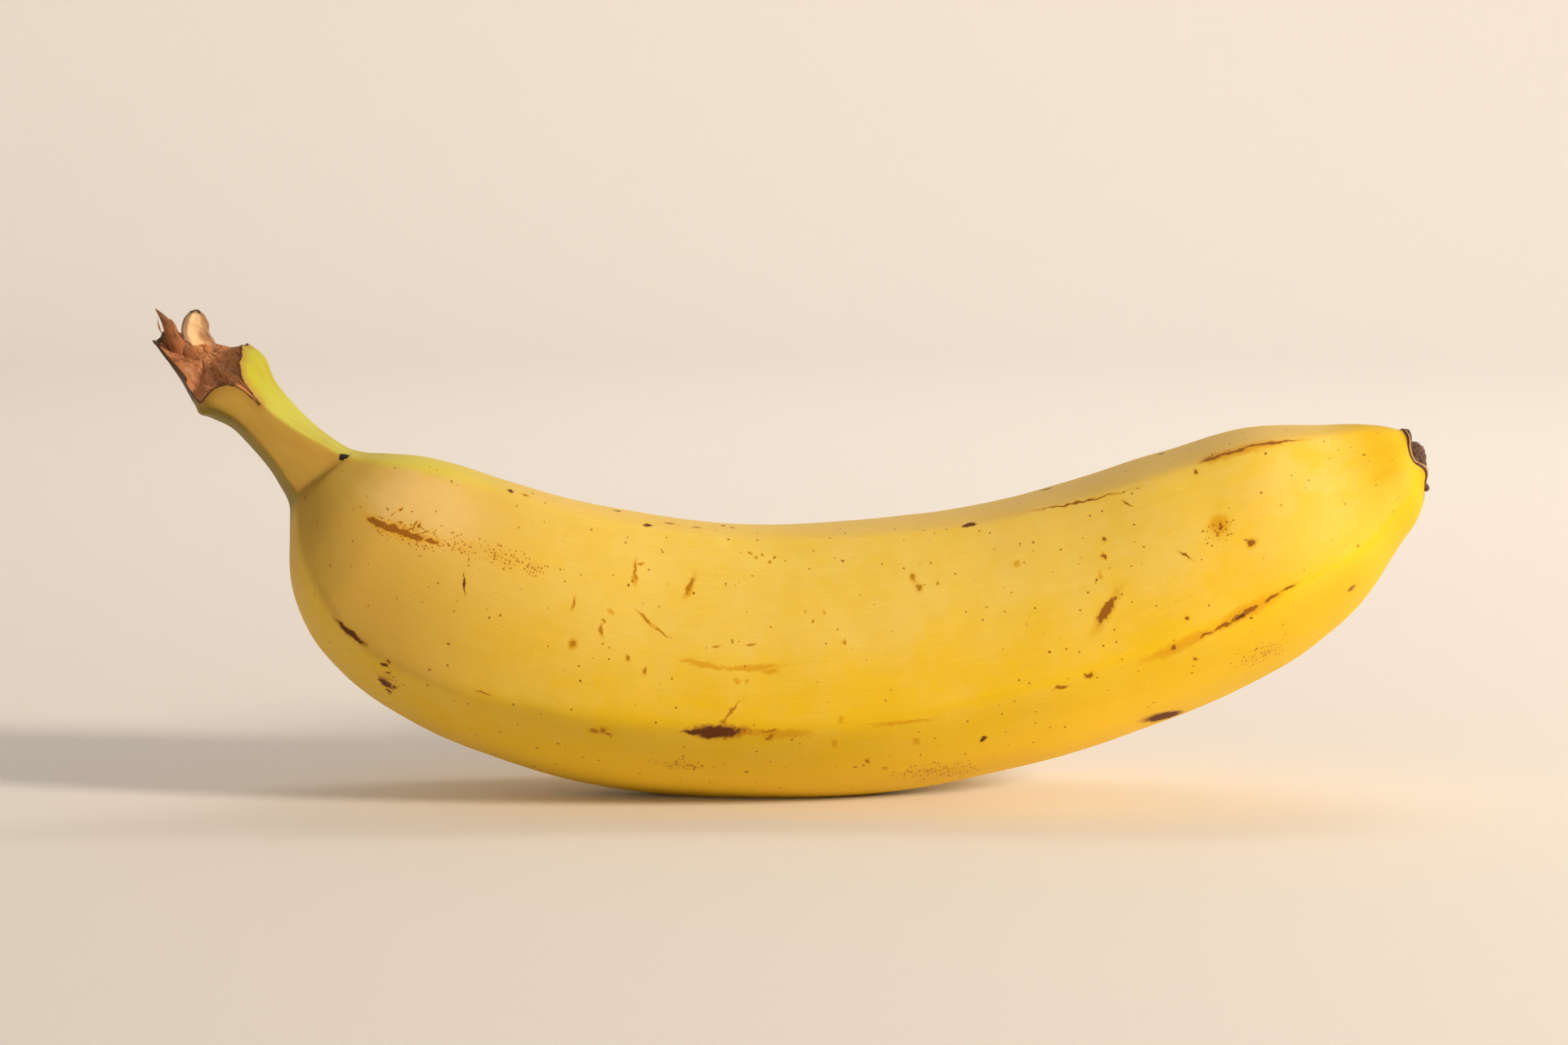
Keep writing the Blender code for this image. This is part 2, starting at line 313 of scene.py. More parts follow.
def tearHeights(angle):
    corners = np.array(tear["edge"])
    turned = np.radians(angle)
    spots = np.stack([np.cos(turned), np.sin(turned), 0 * turned], -1) * tear["cragRing"]
    crag = sum(share * noiseAt(spots, size, seed) for size, seed, share in tear["crags"])
    rugged = eased(np.abs(angle - tear["archMiddle"]), *tear["archReach"])
    return np.interp(angle, corners[:, 0], corners[:, 1]) + tear["crag"] * crag * rugged


def columnAngles(turns, closer):
    # angles of a rolled-up piece's columns, closer together where the torn edge is steep
    fine = np.linspace(-180, 180, peel["fineTurns"])
    density = 1 + sum(more * np.exp(-(((fine - at) / width) ** 2)) for at, width, more in closer)
    total = np.concatenate([[0], np.cumsum((density[1:] + density[:-1]) / 2)])
    return np.interp(np.linspace(0, total[-1], turns + 1), total, fine)


def peelRows():
    # place and share of every point of the peel, from inside the tear to inside the blossom end
    angle = columnAngles(peel["turns"], peel["closer"])
    edge = tearHeights(angle)
    edge[-1] = edge[0]
    rim = blossomPlace + smoothLine(*np.array(blossom["rim"]).T)(angle)
    places, shares = [], []
    for share, height in tear["lip"]:
        places.append(-(edge + height))
        shares.append(np.full_like(angle, share))
    for step in range(tear["rows"]):
        part = step / tear["rows"]
        places.append(-(edge + (tear["foot"] - edge) * part))
        shares.append(np.ones_like(angle))
    for step in range(peel["bodyRows"] + 1):
        place = -tear["foot"] + (blossomPlace + tear["foot"]) * step / peel["bodyRows"]
        bent = eased(np.array(place), blossomPlace - blossom["rimFade"], blossomPlace)
        places.append(place + bent * (rim - blossomPlace))
        shares.append(np.ones_like(angle))
    for share, height in blossom["lip"]:
        places.append(rim + height)
        shares.append(np.full_like(angle, share))
    angles = np.broadcast_to(angle, (len(places), len(angle)))
    return np.array(places), angles, np.array(shares), edge, rim


peelPlace, peelAngle, peelShare, tearEdge, blossomRim = peelRows()


def peelRelief(points, place, angle):
    # swells and dips of the skin, in mm, outwards
    relief = bumpsAt(points, peel["waves"], peel["waveSeed"])
    fold = eased(place, *peel["foldPlace"]) * (1 - eased(place, *peel["foldFade"]))
    relief += peel["foldHeight"] * fold * np.abs(np.cos(np.radians(angle))) ** peel["foldNarrowing"]
    for at, reach, facing, spread, height in peel["knobs"]:
        relief += height * np.exp(-(((place - at) / reach) ** 2) - ((angle - facing) / spread) ** 2)
    tip = eased(place, *(blossomPlace - gap for gap in peel["tipReach"]))
    turned = np.radians(angle)
    wrinkles = sum(share * np.sin(count * turned + turn) for count, turn, share in peel["wrinkles"])
    return relief + peel["tipWrinkle"] * tip * wrinkles


skinPoints = peelPoints(peelPlace, peelAngle, peelShare)
skinNormals = sheetNormals(skinPoints)
outside = peelShare == 1
centres = skinPoints.mean(axis=1, keepdims=True)
facing = np.sign(((skinPoints - centres) * skinNormals).sum(-1)[outside].mean())
relief = np.where(outside, peelRelief(skinPoints, peelPlace, peelAngle), 0.0)
skinPoints = skinPoints + facing * skinNormals * relief[..., None]
skinPoints[:, -1] = skinPoints[:, 0]
skinPoints[..., 2] = skinPoints[..., 2].clip(0.0)  # it is pressed flat where it rests

edgePoints = peelPoints(-tearEdge, peelAngle[0])
rimPoints = peelPoints(blossomRim, peelAngle[0])


def nearest(points, line, most):
    # distance of every point to the nearest point of a line, up to a limit
    found = np.full(points.shape[:-1], float(most))
    for row in range(points.shape[0]):
        gaps = np.linalg.norm(points[row][:, None] - line[None, :], axis=-1).min(1)
        found[row] = np.minimum(gaps, most)
    return found


skinLayout = np.stack([peelPlace, np.radians(peelAngle) * peel["mapRadius"]], -1)
ridgeUp, ridgeLow = (
    np.radians(peelAngle - ridge(peelPlace)) * peel["mapRadius"] for ridge in ridges[:2]
)
fromBack = 1 - eased(np.abs(peelAngle), *peel["backAngles"])
skinFacts = {
    "upperRidge": np.exp(-((ridgeUp / peel["ridgeWidths"][0]) ** 2)),
    "lowerRidge": np.exp(-((ridgeLow / peel["ridgeWidths"][1]) ** 2)),
    "upperFacet": eased(ridgeUp, *peel["upperFacet"]) * fromBack,
    "lowerFacet": eased(-ridgeLow, *peel["lowerFacet"]) * fromBack,
    "tornEdge": nearest(skinPoints, edgePoints, peel["edgeReach"]),
    "blossomEdge": nearest(skinPoints, rimPoints, peel["edgeReach"]),
    "inside": np.where(outside, 0.0, 1.0),
}
skin = gridPiece("bananaPeel", skinPoints, skinLayout, skinFacts)
print("peel made,", len(skin.data.polygons), "faces")

core = {
    "rows": 84,
    "turns": 250,
    "closer": ((20.5, 5.0, 2.5), (-54.0, 5.0, 1.5)),
    "base": (23.7, 5.6, -2.7),  # height in the middle, and its rise towards the back and the inner curve
    # angles where the front ends, below and above, and where the high wall starts and ends
    "frontBelow": (58, 74),
    "frontAbove": (24, 30),
    "wallStart": (50, 66),
    "wallEnd": (125, 160),
    "overhang": 0.12,  # it spills over the skin's edge in front
    "wallDrop": 0.8,  # and stays below that edge at the high wall on the outer curve
    "wallLift": 3.0,  # which it climbs
    "frontShare": 0.985,
    "wallShare": 0.91,
    "bowl": 2,  # how late it turns up towards its edge
    "split": (22, 20.6, 6),  # how full the split beside the knob is, its angle and its width
    "bumps": ((2.3, 0.45), (1.1, 0.3)),
    "bumpSeed": 21.7,
    "fibres": ((1.0, 0.5), (0.5, 0.3), (0.26, 0.13)),
    "fibreSeed": 5.1,
    "fibreLevel": 0.35,
    "grain": 2.6,  # its bumps are this much longer along the stem
    "stemPlaces": (-29.0, -16.0),
    "warp": (0.5, 1.7, 3.3),  # height, size and seed
    "calm": (0.75, 0.88, 1.0),  # how much flatter it is near its edge, and between which shares
    "rimDrop": 0.5,
    "rimInset": 0.01,
    "underShare": 0.6,
    "depth": 5.0,
    "point": 4,  # its closed underside ends this much deeper
}


def corePoints():
    # the torn, fibrous face inside the stem's end, and a closed underside
    angle = columnAngles(core["turns"], core["closer"])
    edge = tearHeights(angle)
    front = (1 - eased(-angle, *core["frontBelow"])) * (1 - eased(angle, *core["frontAbove"]))
    left = eased(-angle, *core["wallStart"]) * (1 - eased(-angle, *core["wallEnd"]))
    limit = core["wallShare"] + (core["frontShare"] - core["wallShare"]) * front
    share = np.linspace(0, 1, core["rows"] + 1)[:, None] * limit[None, :]
    back, inner = -np.cos(np.radians(angle)) * share, np.sin(np.radians(angle)) * share
    middle, toBack, toInner = core["base"]
    slope = middle + toBack * back + toInner * inner
    brim = edge + core["overhang"] - core["wallDrop"] * left
    atWall = np.minimum(brim, slope[-1] + core["wallLift"] * left)
    fill, splitAngle, splitWidth = core["split"]
    steep = core["bowl"] + fill * np.exp(-(((angle - splitAngle) / splitWidth) ** 2))
    towards = (share / limit) ** steep
    height = slope * (1 - towards) + atWall * towards
    flat = peelPoints(-height, angle, share)
    along = peelPoints(np.array(core["stemPlaces"]), 0.0, 0.0)
    stem = (along[0] - along[1]) / np.linalg.norm(along[0] - along[1])
    squeezed = flat - (flat @ stem)[..., None] * stem * (1 - 1 / core["grain"])
    warp, warpSize, warpSeed = core["warp"]
    squeezed = squeezed + warp * noiseAt(flat, warpSize, warpSeed)[..., None]
    bumps = bumpsAt(squeezed, core["bumps"], core["bumpSeed"])
    fibres = 0
    for size, rise in core["fibres"]:
        grooves = np.abs(noiseAt(squeezed, size, core["fibreSeed"] + size))
        fibres = fibres + rise * (core["fibreLevel"] - grooves)
    flatter, calmFrom, calmTo = core["calm"]
    depth = (bumps + fibres) * (1 - flatter * eased(share / limit, calmFrom, calmTo))
    height = height + depth
    top = peelPoints(-height, angle, share)
    rim = peelPoints(-(height[-1] - core["rimDrop"]), angle, limit - core["rimInset"])
    under = peelPoints(-(height[-1] - core["depth"]), angle, limit * core["underShare"])
    point = -(middle - core["depth"] - core["point"])
    bottom = peelPoints(np.full_like(angle, point), angle, 0.0 * limit)
    below = np.zeros((3, len(angle)))
    return np.concatenate([top, [rim, under, bottom]]), np.concatenate([depth, below])


coreFace, coreDepth = corePoints()
coreFace[:, -1] = coreFace[:, 0]
tornCore = gridPiece("tornCore", coreFace, None, {"bump": coreDepth})
print("torn core made,", len(tornCore.data.polygons), "faces")

stub = {
    "rows": 34,
    "turns": 96,
    "share": 0.56,
    "rise": 2.5,
    "sink": 0.25,
    "fullness": 0.98,
    "bumps": ((1.3, 0.3), (0.6, 0.24), (0.28, 0.16), (0.15, 0.08)),
    "bumpSeed": 31.3,
    "spread": 0.6,  # its bumps also push outwards, this much
    "underDepth": 2.0,
    "underShares": (0.5, 0.0),
}


def stubPoints():
    # the dried flower's foot: a rough low dome inside the skin's blossom rim, closed underneath
    angle = np.linspace(-180, 180, stub["turns"] + 1)
    out = np.linspace(0, 1, stub["rows"] + 1)[:, None] + 0 * angle[None, :]
    share = out * stub["share"]
    dome = stub["rise"] * np.sqrt(1 - (out * stub["fullness"]) ** 2)
    points = peelPoints(np.full_like(share, blossomPlace), angle, share)
    points = points + (dome - stub["sink"])[..., None] * blossomWay
    bumps = bumpsAt(points, stub["bumps"], stub["bumpSeed"])
    ahead = blossomWay + stub["spread"] * (points - points[:1]) / stub["rise"]
    points = points + bumps[..., None] * ahead
    shares = np.array(stub["underShares"])[:, None]
    under = peelPoints(np.full((2, len(angle)), blossomPlace - stub["underDepth"]), angle, shares)
    depth = np.concatenate([bumps, np.zeros((2, len(angle)))])
    return np.concatenate([points, under]), depth


stubFace, stubDepth = stubPoints()
stubFace[:, -1] = stubFace[:, 0]
stubDome = gridPiece("stubDome", stubFace, None, {"bump": stubDepth})
print("blossom stub made")

view = {
    "lens": 85.0,
    "sensor": 36.0,
    "elevation": 7.0,
    "distance": 524.1,
    "target": (-1.16, 0.0, 39.0),
    "middle": (1.156, 39.075),  # the middle of the picture, in the numbers that the picked points have
}


def picked(x, z, depth=0.0):
    # a point read off the picture, in mm across and up, put at a depth on the camera's line of sight
    lift = math.radians(view["elevation"])
    across, up = x - view["middle"][0], z - view["middle"][1]
    backwards, above = view["distance"] * math.cos(lift), view["distance"] * math.sin(lift)
    share = (depth + backwards) / (backwards + up * math.sin(lift))
    height = view["target"][2] + above + share * (up * math.cos(lift) - above)
    return np.array([view["target"][0] + share * across, depth, height])


flap = {
    # left and right edge of a scoop of torn skin, from its foot to its tip
    "left": (
        (-83.0, 62.6), (-83.85, 64.9), (-84.1, 66.7), (-83.75, 67.9), (-83.2, 68.55), (-82.75, 68.85),
    ),
    "right": (
        (-79.1, 62.8), (-79.5, 64.6), (-80.2, 65.9), (-80.35, 67.0), (-80.85, 68.1), (-81.75, 68.85),
    ),
    "depth": (1.5, 1.1, 0.7, 0.4, 0.3, 0.3),
    # its right edge stands this much further back, and its left edge as much nearer
    "turn": (0.6, 0.6, 0.55, 0.45, 0.25, 0.05),
    "hollow": 0.7,
    "hollowRound": 0.8,
    "tipRise": 0.32,
    "tipFrom": 0.75,
    # height, size and seed of its crumples, and how much of them goes each way
    "crumples": ((0.16, 1.3, 5.0, (0.5, 1, 0.5)), (0.06, 0.5, 2.0, (0.6, 1, 0.6))),
    "wall": 0.42,
    "rows": 36,
    "columns": 28,
}


def makeFlap():
    steps = np.linspace(0, len(flap["left"]) - 1, flap["rows"] + 1)
    knots = np.arange(len(flap["left"]))
    lines = []
    for side, way in (("left", -1), ("right", 1)):
        depths = np.array(flap["depth"]) + way * np.array(flap["turn"])
        ends = np.array([picked(x, z, depth) for (x, z), depth in zip(flap[side], depths)])
        lines.append(smoothPath(knots, ends, steps))
    across = np.linspace(0, 1, flap["columns"] + 1)
    points = lines[0][:, None] * (1 - across)[None, :, None] + lines[1][:, None] * across[None, :, None]
    up = steps / steps[-1]
    width = np.linalg.norm(lines[1] - lines[0], axis=1)
    bow = np.sin(math.pi * across[None, :]) ** flap["hollowRound"]
    points[..., 1] += flap["hollow"] * (width / width.max())[:, None] * bow
    tip = eased(up, flap["tipFrom"], 1.0)[:, None] * (1 - (2 * across[None, :] - 1) ** 2)
    points[..., 2] += flap["tipRise"] * tip
    for height, size, seed, ways in flap["crumples"]:
        points = points + height * noiseAt(points, size, seed)[..., None] * np.array(ways)
    facts = {
        "up": np.broadcast_to(up[:, None], points.shape[:2]),
        "across": np.broadcast_to(across[None, :], points.shape[:2]),
    }
    made = gridPiece("tornFlap", points, None, facts, rolled=False)
    wall = made.modifiers.new("wall", "SOLIDIFY")
    wall.thickness = flap["wall"] * millimetre
    wall.offset = 0.0
    wall.use_even_offset = True
    bpy.ops.object.modifier_apply(modifier="wall")
    smooth = made.modifiers.new("smooth", "SUBSURF")
    smooth.levels = smooth.render_levels = 1
    bpy.ops.object.modifier_apply(modifier="smooth")
    return made


strands = {
    "sides": 22,
    "steps": 44,
    "rough": ((0.55, 0.16), (0.28, 0.1)),
    "roughSeed": 41.0,
    "grain": 0.22,  # share of the length that the roughness follows, so that it runs lengthwise
    # how flat it is, then points from the root to the tip with their depth and radius
    "torn": {
        "spike": (0.5, (
            (-83.8, 61.4, 1.0, 0.9), (-84.3, 62.8, 0.8, 1.5), (-85.25, 65.1, 0.5, 1.15),
            (-86.05, 67.0, 0.3, 0.75), (-87.0, 68.4, 0.1, 0.36), (-87.9, 69.4, 0.0, 0.04),
        )),
        "leftShred": (0.5, (
            (-84.0, 61.8, 1.4, 0.4), (-85.0, 63.4, 1.2, 0.8),
            (-86.1, 64.9, 1.0, 0.6), (-86.8, 66.0, 0.8, 0.1),
        )),
        "rightShred": (0.5, (
            (-82.5, 61.6, 0.9, 0.8), (-83.4, 63.3, 0.8, 1.2),
            (-84.2, 64.8, 0.7, 0.75), (-84.8, 66.0, 0.6, 0.1),
        )),
        "leftFill": (0.5, (
            (-83.9, 61.0, 1.9, 0.4), (-84.9, 62.7, 1.6, 0.75),
            (-85.9, 64.3, 1.4, 0.75), (-86.8, 65.6, 1.2, 0.1),
        )),
        "prong": (0.5, ((-84.8, 65.4, 0.2, 0.4), (-85.4, 67.0, 0.2, 0.42), (-85.8, 67.95, 0.2, 0.05))),
        "hair": (0.8, ((-86.8, 65.2, 0.3, 0.1), (-87.3, 66.8, 0.2, 0.08), (-87.6, 68.2, 0.2, 0.02))),
        "frontShred": (0.35, (
            (-81.4, 60.6, -0.6, 0.6), (-82.7, 62.4, 0.0, 0.9),
            (-83.9, 64.0, 0.3, 0.5), (-84.5, 65.0, 0.4, 0.1),
        )),
    },
    "dried": {
        "scrap": (0.42, (
            (88.3, 51.9, -1.0, 0.14), (88.95, 52.1, -1.1, 0.22), (89.6, 51.85, -1.2, 0.32),
            (89.8, 51.2, -1.2, 0.28), (89.75, 50.5, -1.0, 0.16), (89.6, 49.9, -0.9, 0.04),
        )),
        "nub": (0.9, (
            (91.2, 45.6, -3.4, 0.16), (91.6, 44.9, -3.4, 0.2), (91.85, 44.4, -3.4, 0.4),
            (92.0, 44.0, -3.4, 0.5), (92.1, 43.65, -3.4, 0.38), (92.15, 43.45, -3.4, 0.1),
        )),
    },
}


def makeStrand(name, flat, route):
    points = np.array([picked(*point[:3]) for point in route])
    knots = distancesAlong(points)
    places = np.linspace(0, knots[-1], strands["steps"] + 1)
    line = smoothPath(knots, points, places)
    radius = smoothLine(knots, [point[3] for point in route])(places)
    ahead = np.gradient(line, axis=0)
    ahead /= np.linalg.norm(ahead, axis=1, keepdims=True)
    side = np.cross(ahead, [0, 1, 0])
    side /= np.linalg.norm(side, axis=1, keepdims=True)
    over = np.cross(side, ahead) * flat
    angle = np.linspace(0, 2 * math.pi, strands["sides"] + 1)
    ring = side[:, None] * np.cos(angle)[None, :, None] + over[:, None] * np.sin(angle)[None, :, None]
    spots = ring * radius.max() + line[:, None] * strands["grain"]
    rough = bumpsAt(spots, strands["rough"], strands["roughSeed"])
    thick = radius[:, None] * (1 + rough / radius.max())
    thick[0] = thick[-1] = 0
    tube = line[:, None] + ring * thick[..., None]
    tube[:, -1] = tube[:, 0]
    along = np.broadcast_to((places / places[-1])[:, None], rough.shape)
    return gridPiece(name, tube, None, {"up": along, "bump": rough})


def joined(name, pieces):
    bpy.ops.object.select_all(action="DESELECT")
    for piece in pieces:
        piece.select_set(True)
    bpy.context.view_layer.objects.active = pieces[0]
    bpy.ops.object.join()
    pieces[0].name = pieces[0].data.name = name
    return pieces[0]


tornFlap = makeFlap()
shreds = [makeStrand(name, *strand) for name, strand in strands["torn"].items()]
tornStrands = joined("tornStrands", shreds)
driedBits = [makeStrand(name, *strand) for name, strand in strands["dried"].items()]
dryStub = joined("dryStub", [stubDome] + driedBits)
print("flap, strands and stub made")


# camera and stage

lift = math.radians(view["elevation"])
aim = Vector(view["target"]) + view["distance"] * Vector((0, -math.cos(lift), math.sin(lift)))
bpy.ops.object.camera_add(location=aim * millimetre)
camera = bpy.context.object
camera.rotation_euler = (math.radians(90) - lift, 0, 0)
camera.data.lens = view["lens"]
camera.data.sensor_width = view["sensor"]
bpy.context.scene.camera = camera

studio = {
    "radius": 0.8,  # of the level part of a round floor that curves up all round
    "bend": 0.5,
    "bendSteps": 16,
    "wall": 0.6,
    "sides": 128,
    "floorColour": (0.82, 0.78, 0.745),
    "floorRoughness": 0.9,
    "world": (0.80, 0.78, 0.76),
    "worldStrength": 0.33,
    # place, aim, size, colour, power
    "lights": {
        "key": ((0.82, -0.36, 0.36), (0, 0, 0.03), 0.16, (1.0, 0.87, 0.70), 10.2),
        "fill": ((-0.55, -0.75, 0.55), (0, 0, 0.03), 0.9, (0.98, 0.96, 0.96), 0.16),
        "top": ((0.05, 0.35, 0.75), (0, 0, 0.03), 0.6, (1.0, 0.95, 0.88), 0.6),
        "backdrop": ((0.3, 0.45, 0.9), (0, 1.3, 0.3), 0.8, (1.0, 0.93, 0.84), 5.0),
    },
}


def makeStage():
    bpy.ops.object.select_all(action="DESELECT")
    bpy.ops.mesh.primitive_circle_add(vertices=studio["sides"], radius=studio["radius"])
    made = bpy.context.object
    made.name = made.data.name = "paleFloor"
    turns = np.radians(np.linspace(0, 90, studio["bendSteps"] + 1))
    radii = list(studio["radius"] + studio["bend"] * np.sin(turns))
    heights = list(studio["bend"] * (1 - np.cos(turns)))
    radii.append(radii[-1])
    heights.append(heights[-1] + studio["wall"])
    bpy.ops.object.mode_set(mode="EDIT")
    bpy.ops.mesh.select_mode(type="EDGE")
    bpy.ops.mesh.select_all(action="SELECT")
    for step in range(1, len(radii)):
        rise, wider = heights[step] - heights[step - 1], radii[step] / radii[step - 1]
        bpy.ops.mesh.extrude_region_move(TRANSFORM_OT_translate={"value": (0, 0, rise)})
        bpy.ops.transform.resize(value=(wider, wider, 1), center_override=(0, 0, 0))
    bpy.ops.mesh.select_all(action="DESELECT")
    bpy.ops.object.mode_set(mode="OBJECT")
    for edge in made.data.edges:
        edge.select = all(made.data.vertices[end].co.z < millimetre for end in edge.vertices)
    bpy.ops.object.mode_set(mode="EDIT")
    bpy.ops.mesh.edge_face_add()
    bpy.ops.mesh.select_all(action="SELECT")
    bpy.ops.mesh.normals_make_consistent(inside=True)
    bpy.ops.object.mode_set(mode="OBJECT")
    bpy.ops.object.shade_smooth()
    return made


def addLight(name, place, aimed, size, colour, power):
    bpy.ops.object.light_add(type="AREA", location=place)
    light = bpy.context.object
    light.name = name
    light.data.shape = "DISK"
    light.data.size = size
    light.data.color = colour
    light.data.energy = power
    light.visible_camera = False
    light.rotation_euler = (Vector(aimed) - Vector(place)).to_track_quat("-Z", "Y").to_euler()


floor = makeStage()
for lightName, light in studio["lights"].items():
    addLight(lightName, *light)
world = bpy.context.scene.world or bpy.data.worlds.new("studioWorld")
bpy.context.scene.world = world
world.use_nodes = True
world.node_tree.nodes["Background"].inputs["Color"].default_value = (*studio["world"], 1)
world.node_tree.nodes["Background"].inputs["Strength"].default_value = studio["worldStrength"]
bpy.context.scene.view_settings.view_transform = "Standard"
print("camera, floor and lights set")


# materials

class Value:
    # a socket that does sums: each operator adds the Math node that it stands for
    def __init__(self, tree, socket):
        self.tree, self.socket = tree, socket

    def node(self, kind, settings=None, sockets=None, out=0):
        made = self.tree.nodes.new(kind)
        for name, setting in (settings or {}).items():
            setattr(made, name, setting)
        for key, value in (sockets or {}).items():
            if isinstance(value, Value):
                self.tree.links.new(value.socket, made.inputs[key])
            else:
                made.inputs[key].default_value = value
        return Value(self.tree, made.outputs[out])

    def maths(self, operation, first, second=None):
        sockets = {0: first} if second is None else {0: first, 1: second}
        return self.node("ShaderNodeMath", {"operation": operation}, sockets)

    def __add__(self, other):
        return self.maths("ADD", self, other)

    def __radd__(self, other):
        return self.maths("ADD", other, self)

    def __sub__(self, other):
        return self.maths("SUBTRACT", self, other)

    def __rsub__(self, other):
        return self.maths("SUBTRACT", other, self)

    def __mul__(self, other):
        return self.maths("MULTIPLY", self, other)

    def __rmul__(self, other):
        return self.maths("MULTIPLY", other, self)

    def __truediv__(self, other):
        return self.maths("DIVIDE", self, other)

    def __rtruediv__(self, other):
        return self.maths("DIVIDE", other, self)

    def __pow__(self, other):
        return self.maths("POWER", self, other)

    def least(self, other):
        return self.maths("MINIMUM", self, other)

    def most(self, other):
        return self.maths("MAXIMUM", self, other)

    def fade(self, start, end):
        # 0 at the start, 1 at the end, smooth between them, whichever is the larger
        turned = start > end
        low, high = (end, start) if turned else (start, end)
        settings = {"interpolation_type": "SMOOTHSTEP"}
        made = self.node("ShaderNodeMapRange", settings, {0: self, 1: low, 2: high})
        return 1 - made if turned else made

    def mixed(self, first, second):
        # from the first colour to the second as this value goes from 0 to 1
        settings = {"data_type": "RGBA", "clamp_factor": True}
        sockets = {0: self, 6: rgba(first), 7: rgba(second)}
        return self.node("ShaderNodeMix", settings, sockets, 2)

    def vector(self, operation, other, out=0):
        return self.node("ShaderNodeVectorMath", {"operation": operation}, {0: self, 1: other}, out)

    def noise(self, size, detail, roughness=0.5, out=0):
        sockets = {"Vector": self, "Scale": 1 / size, "Detail": detail, "Roughness": roughness}
        return self.node("ShaderNodeTexNoise", {"noise_dimensions": "3D"}, sockets, out)


def rgba(colour):
    return colour if isinstance(colour, Value) else (*colour, 1)


def startMaterial(name, roughness):
    material = bpy.data.materials.new(name)
    material.use_nodes = True
    shader = material.node_tree.nodes["Principled BSDF"]
    shader.inputs["Roughness"].default_value = roughness
    start = Value(material.node_tree, shader.outputs[0])
    return material, shader, start


def feed(shader, socket, value):
    value.tree.links.new(value.socket, shader.inputs[socket])


def feedBump(shader, height, strength, depth):
    # a bump of a depth in mm
    sockets = {"Height": height, "Strength": strength, "Distance": depth * millimetre}
    feed(shader, "Normal", height.node("ShaderNodeBump", {}, sockets))


def attribute(start, name):
    return start.node("ShaderNodeAttribute", {"attribute_name": name}, out="Fac")


